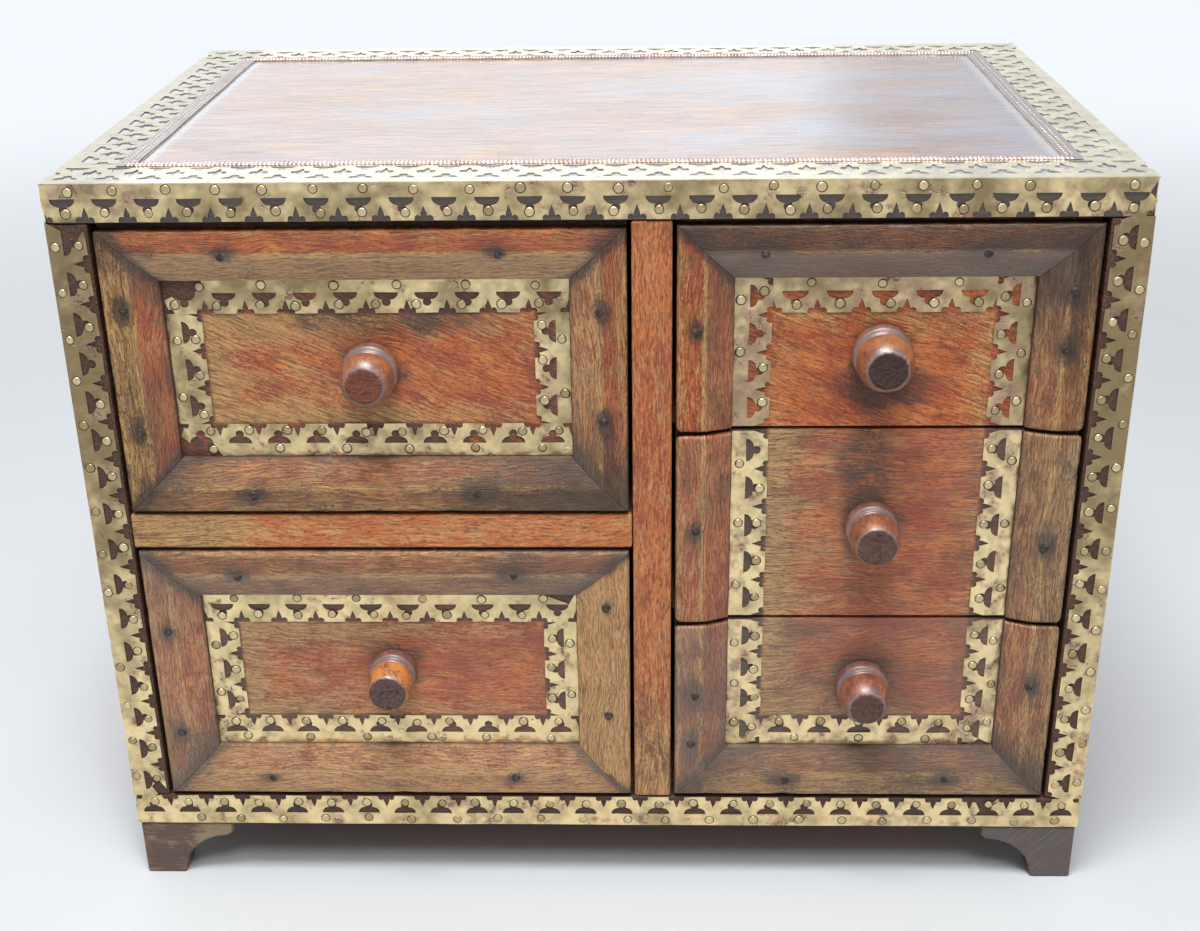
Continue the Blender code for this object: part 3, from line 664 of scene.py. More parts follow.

# Each length has its amounts of red, bare wood, soot and bloom on the level part and again on the fall,
# the places of its nails, as shares of it, and one place where smoke or damp has gone deep: share of
# the length, reach, strength. On the fall the bloom is partly a painted sheen and the soot partly painted
# shade.
NO_SPOT = (0.5, 0.01, 0.0)
LENGTHS = {
    "upper_left_drawer": {
        "top": ((0.52, 0.43, 0.48, 0.05), (0.42, 0.64, 0.32, 0.50), (0.24, 0.76), NO_SPOT),
        "left": ((0.30, 0.58, 0.48, 0.00), (0.50, 0.45, 0.46, 0.15), (0.30, 0.73), (0.45, 0.010, 0.10)),
        "right": ((0.52, 0.47, 0.46, 0.05), (0.46, 0.54, 0.43, 0.20), (0.33, 0.71), (0.10, 0.030, 0.13)),
        "bottom": ((0.40, 0.50, 0.52, 0.05), (0.46, 0.50, 0.50, 0.20), (0.25, 0.70), (0.86, 0.034, 0.15)),
    },
    "lower_left_drawer": {
        "top": ((0.44, 0.47, 0.48, 0.20), (0.42, 0.51, 0.44, 0.65), (0.20, 0.76), (0.80, 0.020, 0.09)),
        "left": ((0.50, 0.48, 0.43, 0.50), (0.50, 0.49, 0.44, 0.45), (0.27, 0.68), (0.20, 0.012, 0.08)),
        "right": ((0.56, 0.60, 0.31, 0.24), (0.52, 0.84, 0.12, 0.22), (0.34, 0.78), NO_SPOT),
        "bottom": ((0.48, 0.55, 0.40, 0.35), (0.48, 0.53, 0.41, 0.40), (0.22, 0.75), NO_SPOT),
    },
    "upper_right_drawer": {
        "top": ((0.36, 0.41, 0.59, 0.00), (0.26, 0.40, 0.54, 0.76), (0.21, 0.73), NO_SPOT),
        "left": ((0.58, 0.46, 0.43, 0.00), (0.50, 0.44, 0.45, 0.15), (0.50,), NO_SPOT),
        "right": ((0.38, 0.49, 0.52, 0.00), (0.42, 0.50, 0.50, 0.15), (0.41, 0.68), (0.75, 0.020, 0.08)),
    },
    "middle_right_drawer": {
        "left": ((0.52, 0.46, 0.45, 0.25), (0.50, 0.45, 0.46, 0.25), (0.50,), NO_SPOT),
        "right": ((0.30, 0.54, 0.52, 0.25), (0.38, 0.51, 0.50, 0.25), (0.42,), NO_SPOT),
    },
    "lower_right_drawer": {
        "left": ((0.46, 0.46, 0.47, 0.55), (0.46, 0.44, 0.47, 0.50), (0.31, 0.60), (0.58, 0.012, 0.10)),
        "right": ((0.40, 0.49, 0.47, 0.25), (0.42, 0.47, 0.47, 0.30), (0.66,), (0.10, 0.016, 0.10)),
        "bottom": ((0.34, 0.56, 0.51, 0.28), (0.40, 0.48, 0.53, 0.35), (0.30, 0.73), (0.62, 0.016, 0.09)),
    },
}
# How far in from the outer edge the nails of a side are.
NAIL_INSET = {"top": 0.0108, "bottom": 0.0078, "left": 0.0074, "right": 0.0092}
MARKS = ("red", "bare_and_highlight", "soot_and_shade", "bloom_and_sheen")

Run = namedtuple("Run", "corner along inward length cut_start cut_end")


def arc(centre, radius_a, radius_b, start, end, steps):
    """Points of an elliptic arc, angles in degrees."""
    angles = [radians(start + (end - start) * i / steps) for i in range(steps + 1)]
    return [(centre[0] + radius_a * cos(a), centre[1] + radius_b * sin(a)) for a in angles]


def bar_section():
    """(distance in from the outer edge, height) round a moulding, from its outer foot to its inner one."""
    edge = arc((BAR_WORN_EDGE, BAR_HEIGHT - BAR_WORN_EDGE), BAR_WORN_EDGE, BAR_WORN_EDGE, 180, 90, 4)
    level = [(BAR_LEVEL * share, BAR_HEIGHT) for share in (0.45, 0.75)]
    ridge = [(BAR_LEVEL - BAR_RIDGE, BAR_HEIGHT), (BAR_LEVEL, BAR_HEIGHT - BAR_RIDGE * 0.12)]
    fall = []
    steps = 7
    for i in range(1, steps + 1):
        share = i / steps
        inward = BAR_LEVEL + (BAR_WIDTH - BAR_LEVEL) * share
        height = BAR_HEIGHT + (BAR_LIP - BAR_HEIGHT) * share
        fall.append((inward, height + BAR_BULGE * 4 * share * (1 - share)))
    return [(0.0, 0.0), *edge, *level, *ridge, *fall, (BAR_WIDTH, 0.0)]


def section_height(section, inward):
    """Height of the moulding's face at a distance in from its outer edge."""
    for (u0, h0), (u1, h1) in zip(section[1:], section[2:]):
        if u0 <= inward <= u1 and u1 > u0:
            return h0 + (h1 - h0) * (inward - u0) / (u1 - u0)
    return BAR_HEIGHT


def bar_runs(drawer):
    """Each side's length: its outer corner, directions along and inward, and which ends are mitred."""
    low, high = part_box(f"{drawer}_front")
    right, up = Vector((1.0, 0.0, 0.0)), Vector((0.0, 0.0, 1.0))
    wide, tall = high.x - low.x, high.z - low.z
    foot_cut, head_cut = "bottom" in RAILS[drawer], "top" in RAILS[drawer]
    runs = {
        "left": Run(Vector((low.x, BAR_BASE_Y, low.z)), up, right, tall, foot_cut, head_cut),
        "right": Run(Vector((high.x, BAR_BASE_Y, low.z)), up, -right, tall, foot_cut, head_cut),
    }
    if head_cut:
        runs["top"] = Run(Vector((low.x, BAR_BASE_Y, high.z)), right, -up, wide, True, True)
    if foot_cut:
        runs["bottom"] = Run(Vector((low.x, BAR_BASE_Y, low.z)), right, up, wide, True, True)
    return runs


def stations(length):
    """Distances along a length, closer together near both ends."""
    first = BAR_END_STEPS[-1]
    count = round((length - 2 * first) / BAR_STEP)
    middle = [first + (length - 2 * first) * i / count for i in range(1, count)]
    return [*BAR_END_STEPS, *middle, *[length - s for s in reversed(BAR_END_STEPS)]]


def bell(distance, width):
    return exp(-((distance / width) ** 2))


def bar_point(run, s, u, h, shift):
    """How far along its length a point of the section lies at a station, and the point, worn there."""
    rounded = STILE_ROUND - sqrt(STILE_ROUND**2 - max(0.0, STILE_ROUND - u) ** 2)
    first = u + MITRE_GAP if run.cut_start else rounded
    last = run.length - (u + MITRE_GAP if run.cut_end else rounded)
    place = first + (last - first) * s / run.length
    start_round = 0.0 if run.cut_start else max(0.0, BAR_END_ROUND - s)
    end_round = 0.0 if run.cut_end else max(0.0, BAR_END_ROUND - (run.length - s))
    end_drop = (start_round + end_round) ** 2 / BAR_END_ROUND
    spot = Vector((place * 55.0 + shift, u * 160.0, h * 90.0))
    ripple = noise.noise(spot) * RIPPLE_DEEP
    nick = max(0.0, noise.noise(spot * 2.3 + Vector((7.0, 0.0, 3.0))) - 0.25) * NICK_DEEP
    edge = bell(u, 0.0016) + 0.5 * bell(u - BAR_LEVEL, 0.0010)
    lowered = h - (end_drop + nick * edge if h > BAR_LIP * 0.5 else 0.0)
    height = max(0.0, lowered + (ripple if h > 0.0 else 0.0))
    in_by = min(max(u + (nick * 0.4 if u < 0.001 else 0.0), 0.0), BAR_WIDTH)
    return place, run.corner + run.along * place + run.inward * in_by + FRONTWARD * height


def bar_marks(run, place, u, h, look, nails, dark_spot):
    """Amounts of red, bare wood, soot and bloom at a point: dirt in the corners, rust round the nails,
    painted shade along both feet, and a painted highlight on the ridge.
    """
    level, fall = look
    share = min(max((u - BAR_LEVEL) / 0.0005 + 0.5, 0.0), 1.0)
    red, bare_and_highlight, soot_and_shade, bloom_and_sheen = [a + (b - a) * share for a, b in zip(level, fall)]
    # A pale line on the ridge, wear and a painted highlight, and wear along the outer edge.
    bare_and_highlight += 0.20 * bell(u - BAR_LEVEL, 0.0009) + 0.10 * bell(u - 0.0010, 0.0011)
    # Painted shade in the creases at both feet of the moulding and on its lip face next to the panel.
    soot_and_shade += 0.09 * bell(u - BAR_WIDTH, 0.0012) + 0.10 * bell(u, 0.0010)
    soot_and_shade += 0.20 if u == BAR_WIDTH and h == 0.0 else 0.0
    for from_end, mitred in ((place, run.cut_start), (run.length - place, run.cut_end)):
        if mitred:
            soot_and_shade += 0.24 * bell(from_end - u, 0.0028) + 0.13 * bell(from_end - u, 0.014)
    dark_share, dark_reach, dark_strength = dark_spot
    soot_and_shade += dark_strength * bell(place - dark_share * run.length, dark_reach)
    for nail_s, nail_u in nails:
        far = sqrt(((place - nail_s) / RUST_LONG) ** 2 + ((u - nail_u) / RUST_WIDE) ** 2)
        soot_and_shade += 0.28 * bell(far, 1.0) + 0.10 * bell(far, 2.0)
    return red, bare_and_highlight, soot_and_shade, bloom_and_sheen


def skin(bm, rings):
    """Faces between each closed ring of points and the next."""
    for here, there in zip(rings, rings[1:]):
        for i in range(len(here)):
            k = (i + 1) % len(here)
            bm.faces.new((here[i], here[k], there[k], there[i]))


def smooth_mesh(bm, name, sharp=None):
    """The finished mesh, smooth but for edges sharper than an angle in degrees."""
    mesh = bpy.data.meshes.new(name)
    bm.to_mesh(mesh)
    bm.free()
    mesh.shade_smooth()
    if sharp:
        mesh.set_sharp_from_angle(angle=radians(sharp))
    return mesh


def store_marks(mesh, names, rows):
    """Keeps a row of named amounts for each point of a mesh."""
    for name, column in zip(names, zip(*rows)):
        mesh.attributes.new(name, "FLOAT", "POINT").data.foreach_set("value", column)


def read_mark(wire, name):
    settings = {"attribute_name": name, "attribute_type": "GEOMETRY"}
    return wire.node("ShaderNodeAttribute", settings, output="Fac")


def moulding_mesh(run, section, look, nails, dark_spot, shift, highest):
    """One length of moulding, worn down to a highest z, with its grain map and the marks of its wood."""
    bm = bmesh.new()
    grain_map = bm.loops.layers.uv.new("grain")
    rings = []
    spots = []
    marks = []
    for s in stations(run.length):
        ring = []
        for u, h in section:
            place, point = bar_point(run, s, u, h, shift)
            point.z = min(point.z, highest)
            ring.append(bm.verts.new(point))
            spots.append((place + shift, u))
            marks.append(bar_marks(run, place, u, h, look, nails, dark_spot))
        rings.append(ring)
    bm.verts.index_update()
    skin(bm, rings)
    bm.faces.new(rings[0][::-1])
    bm.faces.new(rings[-1])
    bmesh.ops.recalc_face_normals(bm, faces=bm.faces)
    for face in bm.faces:
        for loop in face.loops:
            loop[grain_map].uv = spots[loop.vert.index]
    mesh = smooth_mesh(bm, "moulding", 50.0)
    store_marks(mesh, MARKS, marks)
    return mesh


moulding_material, moulding_place = new_material("moulding_wood")
moulding_map = moulding_place.node("ShaderNodeUVMap", {"uv_map": "grain"})
moulding_marks = [read_mark(moulding_place, name) for name in MARKS]
aged_wood(moulding_material, grain(moulding_map, "XYZ"), *moulding_marks, polish=WAXED_MOULDING)

section = bar_section()
iron_nails = {}
shift = 0.0
for drawer in DRAWERS:
    iron_nails[drawer] = []
    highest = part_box(f"{drawer}_front")[1].z - TOP_WEAR.get(drawer, 0.0)
    for side, run in bar_runs(drawer).items():
        *look, nail_shares, dark_spot = LENGTHS[drawer][side]
        inset = NAIL_INSET[side]
        nails = [(run.length * share, inset) for share in nail_shares]
        face = FRONTWARD * section_height(section, inset)
        iron_nails[drawer] += [run.corner + run.along * s + run.inward * u + face for s, u in nails]
        mesh = moulding_mesh(run, section, look, nails, dark_spot, shift, highest)
        mesh.materials.append(moulding_material)
        bar = add_object(f"{drawer}_{side}_moulding", mesh)
        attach(bar, drawer)
        node = f"{drawer}_moulding" if RAILS[drawer] else f"{drawer}_moulding_{side}"
        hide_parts(node)
        shift += NEXT_LENGTH


# Turned knobs
# Five knobs turned from one hardwood, each with a collar, a groove and a barrel. Hands have rubbed
# them glossy, filled the groove with grey grime and worn the ends dark and flat. The grey on collar
# and shoulder is partly a painted sheen, and the pale ring round each end a painted highlight.

KNOB_RED = srgb(102, 57, 45)
KNOB_ORANGE = srgb(150, 86, 54)
# Grey grime, also a painted sheen on the collar and shoulder.
KNOB_GRIME_AND_SHEEN = srgb(104, 94, 94)
KNOB_AMBER = srgb(206, 132, 62)
# Painted highlight on the worn rim round the end.
KNOB_RIM_HIGHLIGHT = srgb(112, 104, 108)
END_GREY = srgb(106, 88, 82)
END_RED = srgb(124, 70, 54)
END_DARK = srgb(48, 36, 35)
KNOB_STEPS = 56
TENON_RADIUS = 0.0039
BELLY_OUT = 0.0115
BARREL_FALL = 24.0
# How thick each knob is, how long, how wide its worn end (shares of the solids), how red and how
# dark that end is, and how far its barrel is rubbed to amber.
KNOBS = {
    "upper_left_drawer": (1.02, 0.90, 0.62, 0.90, 0.05, 0.10),
    "lower_left_drawer": (0.91, 0.96, 0.74, 0.15, 0.25, 0.85),
    "upper_right_drawer": (1.06, 1.00, 0.62, 0.30, 0.75, 0.25),
    "middle_right_drawer": (0.97, 0.97, 0.70, 0.35, 0.28, 0.20),
    "lower_right_drawer": (1.01, 0.98, 0.60, 0.40, 0.36, 0.00),
}
END_MARKS = ("worn_end", "end_red", "end_dark", "amber")
panel_face_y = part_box("upper_left_drawer_front")[0].y


def knob_profile(low, high, girth, reach, blunt):
    """(distance out from the panel, radius, how far on the worn end) from the tenon's back to the tip."""
    collar = (high.x - low.x) / 2 * girth
    length = (panel_face_y - low.y - 0.0002) * reach
    barrel, end = collar * 0.93, collar * blunt
    shoulder = (barrel - end) / (1.0 - sin(radians(BARREL_FALL)))
    run = (length - 0.0003 - BELLY_OUT) / cos(radians(BARREL_FALL))
    points = [(panel_face_y - high.y, TENON_RADIUS), (0.0003, TENON_RADIUS), (0.0003, collar * 0.94)]
    points += arc((0.0028, collar * 0.94), 0.0025, collar * 0.06, 170, 10, 6)
    points += arc((0.0066, collar * 0.90), 0.0011, collar * 0.08, 200, 340, 5)
    points += arc((BELLY_OUT, collar * 0.82), BELLY_OUT - 0.0080, barrel - collar * 0.82, 170, 90, 5)
    points += arc((BELLY_OUT, barrel - shoulder), run, shoulder, 80, BARREL_FALL, 8)
    points += [(length - 0.0001, end * 0.94), (length - 0.0002, end * 0.78), (length - 0.0005, end * 0.4)]
    worn = [0.15, 0.5, 0.75, 1.0, 1.0]
    sound = [0.0] * (len(points) - len(worn))
    return [(*point, share) for point, share in zip(points, sound + worn)]


def fan(bm, ring, point):
    """Closes a ring of points with faces that meet in one point."""
    tip = bm.verts.new(point)
    for here, there in zip(ring, [*ring[1:], ring[0]]):
        bm.faces.new((here, there, tip))


def turned_mesh(profile, centre, seed, end_look):
    """A profile turned about an axis along -Y, a little out of true, with the marks of its worn end."""
    bm = bmesh.new()
    rings = []
    marks = []
    for out, radius, worn in profile:
        ring = []
        for i in range(KNOB_STEPS):
            angle = 2 * pi * i / KNOB_STEPS
            spot = Vector((cos(angle) * 1.3, sin(angle) * 1.3, out * 130.0 + seed))
            uneven = radius * (1.0 + (noise.noise(spot) * 0.016 if out > 0.0 else 0.0))
            dent = abs(noise.noise(spot * 2.7)) * 0.00030 if out > 0.012 else 0.0
            x, z = centre.x + uneven * cos(angle), centre.z + uneven * sin(angle)
            ring.append(bm.verts.new((x, panel_face_y - out + dent, z)))
        rings.append(ring)
        marks += [(worn, *end_look)] * KNOB_STEPS
    skin(bm, rings)
    bm.faces.new(rings[0])
    fan(bm, rings[-1], (centre.x, panel_face_y - profile[-1][0], centre.z))
    marks.append((1.0, *end_look))
    bmesh.ops.recalc_face_normals(bm, faces=bm.faces)
    mesh = smooth_mesh(bm, "knob", 55.0)
    store_marks(mesh, END_MARKS, marks)
    return mesh


def knob_wood():
    material, coordinates = new_material("rubbed_knob_wood")
    place = grain(coordinates, "YXZ")
    out = panel_face_y * MILLIMETRES - axes(place)[0]
    patch = cloud(place, (7.0, 5.0, 5.0), 4.0)
    fibre = cloud(place, (8.0, 0.8, 0.8), 2.0)
    speck = cloud(place, (1.3, 1.3, 1.3))
    groove = fade(out, 4.6, 6.0) * fade(out, 8.4, 7.0)
    foot = fade(out, 1.8, 0.4)
    collar = fade(out, 6.0, 4.4)
    shoulder = fade(out, 12.0, 16.0)
    worn, end_red, end_dark, amber = [read_mark(place, name) for name in END_MARKS]
    end = fade(worn + speck * 0.7 + patch * 0.5, 0.80, 1.25)
    rim = fade(worn + speck * 0.2, 0.10, 0.34)
    barrel = fade(out, 7.4, 8.8) * fade(patch * 0.5 + speck * 0.5, 0.36, 0.56)
    # Grime in the groove and at the foot; the collar and shoulder terms are partly painted sheen.
    dirt = groove * 0.50 + foot * 0.30 + collar * 0.28 + shoulder * 0.14
    grime_and_sheen = fade(dirt + speck * 0.30 + patch * 0.25, 0.38, 0.74)

    colour = blend(KNOB_RED, KNOB_ORANGE, fade(patch * 0.6 + fibre * 0.4, 0.44, 0.62))
    colour = blend(colour, KNOB_AMBER, barrel * amber)
    colour = blend(colour, KNOB_GRIME_AND_SHEEN, grime_and_sheen * 0.58)
    # A pale ring round the worn end: a painted highlight.
    colour = blend(colour, KNOB_RIM_HIGHLIGHT, rim * 0.6)
    end_colour = blend(blend(END_GREY, END_RED, end_red), END_DARK, end_dark)
    end_colour = blend(end_colour, END_DARK, fade(speck * 0.6 + patch * 0.4, 0.48, 0.66) * 0.6)
    colour = blend(colour, end_colour, end)
    roughness = 0.34 + grime_and_sheen * 0.22 + end * 0.34 + patch * 0.12
    height = fibre * 0.5 + speck * 1.1 + end * speck * 2.0
    set_fixed(material, Coat_Roughness=0.40, Coat_IOR=1.75, Specular_IOR_Level=0.2)
    dress(material, colour, roughness, height, 0.0003)
    feed(material, "Coat Weight", 1.0 - end)
    return material


knob_material = knob_wood()
for index, (drawer, (girth, reach, blunt, *end_look)) in enumerate(KNOBS.items()):
    low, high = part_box(f"{drawer}_knob")
    profile = knob_profile(low, high, girth, reach, blunt)
    mesh = turned_mesh(profile, (low + high) / 2, 11.0 * index, end_look)
    mesh.materials.append(knob_material)
    knob = add_object(f"{drawer}_turned_knob", mesh)
    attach(knob, drawer)
    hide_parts(f"{drawer}_knob")


# Pierced brass strips
# Strips cut from thin sheet brass with a row of bowls along the margin and a spade-shaped notch
# between each two on the inner edge. They are hand cut, a little wavy, and torn at some corners.

X, Y, Z = Vector((1.0, 0.0, 0.0)), Vector((0.0, 1.0, 0.0)), Vector((0.0, 0.0, 1.0))
STRIP_WIDTH = 0.0142
STRIP_PITCH = 0.0155
STRIP_MARGIN = 0.0056
FRAME_STRIP_WIDTH = 0.0134
OPEN_STRIP_WIDTH = 0.0140
BOWL_HALF = 0.0047
BOWL_DEEP = 0.0031
NECK_HALF = 0.0013
LOBE_RADIUS = 0.0017
LOBE_CENTRE = 0.0041
NOTCH_HALF = 0.0034
NOTCH_LOBE = 0.00125
NOTCH_TALL = 0.0056
BRASS_SHEET = 0.00038
BRASS_LIFT = 0.00012
TEAR_REACH = 0.0036
EDGE_INSET = 0.0003
ALL_SIDES = ("top", "bottom", "left", "right")


def half_notch():
    """Right half of a notch from its foot to its tip: (distance from the middle, distance up the strip)."""
    lobe = arc((NOTCH_HALF - NOTCH_LOBE, 0.0008), NOTCH_LOBE, NOTCH_LOBE, 0, 140, 4)
    spike = [(0.00115, 0.0024), (0.00066, 0.0038), (0.0, NOTCH_TALL)]
    return [(NOTCH_HALF, 0.0), *lobe, *spike]


def bowl():
    """Outline of a bowl with its neck and lobe, in the middle of a pitch above the strip's margin."""
    side = arc((NECK_HALF, 0.0), BOWL_HALF - NECK_HALF, BOWL_DEEP, 0, 80, 3)
    lobe = arc((0.0, LOBE_CENTRE), LOBE_RADIUS, LOBE_RADIUS, -38, 90, 4)
    half = [*side, *lobe]
    whole = [*half, *[(-x, y) for x, y in reversed(half[:-1])]]
    return [(STRIP_PITCH / 2 + x, STRIP_MARGIN + y) for x, y in whole]


def flat_tile(name, outline, holes):
    """A flat piece of sheet inside its outline and outside its holes, facing +Z."""
    bm = bmesh.new()
    for loop in (outline, *holes):
        verts = [bm.verts.new((x, y, 0.0)) for x, y in loop]
        for here, there in zip(verts, [*verts[1:], verts[0]]):
            bm.edges.new((here, there))
    bmesh.ops.triangle_fill(bm, use_beauty=True, edges=bm.edges, normal=(0, 0, 1))
    for face in bm.faces:
        if face.normal.z < 0:
            face.normal_flip()
    return add_object(name, smooth_mesh(bm, name))


def strip_tile():
    """One pitch of the narrow strip: its outer edge along X, its notched edge at STRIP_WIDTH."""
    left = [(x, STRIP_WIDTH - y) for x, y in reversed(half_notch())]
    right = [(STRIP_PITCH - x, STRIP_WIDTH - y) for x, y in half_notch()]
    outline = [(0.0, 0.0), *left, *right, (STRIP_PITCH, 0.0)]
    return flat_tile("strip_tile", outline, [bowl()])


def band_tile():
    """One pitch of the wide band: two strips edge to edge, so that the notches close to stars."""
    wide = 2 * STRIP_WIDTH
    lower = [(x, STRIP_WIDTH - y) for x, y in reversed(half_notch())]
    upper = [(x, STRIP_WIDTH + y) for x, y in half_notch()][1:]
    left = [*lower, *upper]
    right = [(STRIP_PITCH - x, y) for x, y in reversed(left)]
    outline = [(0.0, 0.0), *left, (0.0, wide), (STRIP_PITCH, wide), *right, (STRIP_PITCH, 0.0)]
    return flat_tile("band_tile", outline, [bowl(), [(x, wide - y) for x, y in bowl()]])


def new_tree(name, inputs):
    """A Geometry Nodes tree, and the wires of its inputs by name."""
    tree = bpy.data.node_groups.new(name, "GeometryNodeTree")
    tree.interface.new_socket("Geometry", in_out="INPUT", socket_type="NodeSocketGeometry")
    for label, kind in inputs.items():
        tree.interface.new_socket(label, in_out="INPUT", socket_type=f"NodeSocket{kind}")
    tree.interface.new_socket("Geometry", in_out="OUTPUT", socket_type="NodeSocketGeometry")
    source = tree.nodes.new("NodeGroupInput")
    return tree, {output.name: Wire(output) for output in source.outputs if output.name}


def end_tree(result):
    output = result.tree.nodes.new("NodeGroupOutput")
    result.tree.links.new(result.socket, output.inputs[0])


def run_tree(tree, name, layout, values):
    """The plain mesh object that a tree makes of a layout of points."""
    piece = add_object(name, layout)
    modifier = piece.modifiers.new("make", "NODES")
    modifier.node_group = tree
    for item in tree.interface.items_tree:
        if item.in_out == "INPUT" and item.name in values:
            modifier[item.identifier] = values[item.name]
    depsgraph = bpy.context.evaluated_depsgraph_get()
    made = piece.evaluated_get(depsgraph)
    mesh = bpy.data.meshes.new_from_object(made, preserve_all_data_layers=True, depsgraph=depsgraph)
    piece.modifiers.remove(modifier)
    piece.data = mesh
    return piece


def shape_of(held):
    return held.node("GeometryNodeObjectInfo", {}, {"Object": held}, output="Geometry")


def read_vector(wire, name):
    """A vector that the layout keeps for each of its points."""
    settings = {"data_type": "FLOAT_VECTOR"}
    return wire.node("GeometryNodeInputNamedAttribute", settings, {"Name": name})


def read_turn(wire):
    return wire.node("FunctionNodeEulerToRotation", {}, {0: read_vector(wire, "turn")})


def sheet_tree():
    """Lays a tile at each point, joins the tiles to one wavy sheet, and gives it its thickness."""
    inputs = {"Tile": "Object", "Tears": "Object", "Tear Reach": "Float", "Thickness": "Float"}
    inputs.update({"Wave": "Vector", "Wave Size": "Float", "Material": "Material"})
    tree, given = new_tree("pierced_sheet", inputs)
    points = given["Geometry"]
    laid_inputs = {"Points": points, "Instance": shape_of(given["Tile"])}
    laid_inputs.update({"Rotation": read_turn(points), "Scale": read_vector(points, "stretch")})
    laid = points.node("GeometryNodeInstanceOnPoints", {}, laid_inputs)
    laid = laid.node("GeometryNodeRealizeInstances", {}, {0: laid})
    laid = laid.node("GeometryNodeMergeByDistance", {}, {"Geometry": laid, "Distance": 0.00005})

    spot = laid.node("GeometryNodeInputPosition")
    drift_inputs = {"Vector": spot, "Scale": 1.0 / given["Wave Size"], "Detail": 1.5}
    drift = spot.node("ShaderNodeTexNoise", {}, drift_inputs, output="Color")
    offset = drift.vector("SUBTRACT", (0.5, 0.5, 0.5)).vector("MULTIPLY", given["Wave"])
    laid = laid.node("GeometryNodeSetPosition", {}, {"Geometry": laid, "Offset": offset})

    torn = shape_of(given["Tears"])
    away = torn.node("GeometryNodeProximity", {"target_element": "POINTS"}, {0: torn}, output="Distance")
    lost_inputs = {0: away, 1: given["Tear Reach"]}
    lost = away.node("FunctionNodeCompare", {"operation": "LESS_THAN"}, lost_inputs)
    kept_inputs = {"Geometry": laid, "Selection": lost}
    laid = laid.node("GeometryNodeDeleteGeometry", {"domain": "FACE"}, kept_inputs)

    raised_inputs = {"Mesh": laid, "Offset Scale": given["Thickness"], "Individual": False}
    raised = laid.node("GeometryNodeExtrudeMesh", {}, raised_inputs)
    under = laid.node("GeometryNodeFlipFaces", {}, {0: laid})
    both = under.node("GeometryNodeJoinGeometry", {}, {0: under})
    tree.links.new(raised.socket, both.socket.node.inputs[0])
    solid = both.node("GeometryNodeMergeByDistance", {}, {"Geometry": both, "Distance": 0.00001})
    dressed_inputs = {"Geometry": solid, "Material": given["Material"]}
    end_tree(solid.node("GeometryNodeSetMaterial", {}, dressed_inputs))
    return tree


def turn_of(along, inward, outward):
    return Matrix((along, inward, outward)).transposed().to_euler()


def layout_mesh(name, rows):
    """Points with the turn, and for tiles the stretch, of what is laid there."""
    places, *columns = zip(*rows)
    mesh = bpy.data.meshes.new(name)
    mesh.from_pydata(list(places), [], [])
    for label, column in zip(("turn", "stretch"), columns):
        attribute = mesh.attributes.new(label, "FLOAT_VECTOR", "POINT")
        attribute.data.foreach_set("vector", [part for vector in column for part in vector])
    return mesh


Strip = namedtuple("Strip", "start inward outward length width")


def strip_rows(strip):
    """Where the tiles of one strip go, from its start at a corner of its outer edge."""
    along = strip.inward.cross(strip.outward)
    count = max(1, round(strip.length / STRIP_PITCH))
    pitch = strip.length / count
    stretch = (pitch / STRIP_PITCH, strip.width / STRIP_WIDTH, 1.0)
    turn = turn_of(along, strip.inward, strip.outward)
    first = strip.start + strip.outward * BRASS_LIFT
    return [(first + along * pitch * i, turn, stretch) for i in range(count)]


def ring_strips(low, high, plane, width, through, sides=ALL_SIDES):
    """The strips on the sides of a rectangle.

    plane is (origin, right, up, outward); low and high are (right, up) distances there. The strips
    named in through run on to the outer corners, and the others fit between them.
    """
    origin, right, up, outward = plane
    wide, tall = high[0] - low[0], high[1] - low[1]
    strips = []
    for side in sides:
        level = side in ("top", "bottom")
        full = wide if level else tall
        others = ("left", "right") if level else ("bottom", "top")
        trims = [0.0 if side in through or other not in sides else width for other in others]
        inward = {"top": -up, "bottom": up, "left": right, "right": -right}[side]
        along = inward.cross(outward)
        at_right = side == "right" or (level and along.dot(right) < 0)
        at_top = side == "top" or (not level and along.dot(up) < 0)
        corner = origin + right * (high[0] if at_right else low[0]) + up * (high[1] if at_top else low[1])
        first_trim = trims[1] if (at_right if level else at_top) else trims[0]
        strips.append(Strip(corner + along * first_trim, inward, outward, full - sum(trims), width))
    return strips


# Brass on all of the chest is one alloy, tarnished olive, with brighter rubbed places, pink where
# the zinc has gone, small dark spots and fine scratches along the strips.
BRASS_BRIGHT = srgb(237, 214, 164)
BRASS_OLIVE = srgb(148, 129, 94)
BRASS_PINK = srgb(172, 140, 120)
BRASS_DARK = srgb(78, 59, 43)
OLD_BRASS = (BRASS_OLIVE, BRASS_BRIGHT, BRASS_PINK)
# Top-band brass painted pale: worn metal with the white glare of a low-angle reflection laid into its
# colour.
PALE_BRASS_AND_GLARE = (srgb(187, 176, 143), srgb(233, 221, 185), srgb(210, 191, 173))
LEFT_GREY = srgb(147, 141, 125)
# How much dimmer the painted reflection is high up at the chest's outer edges.
SIDE_REFLECTION_DIM = 0.16


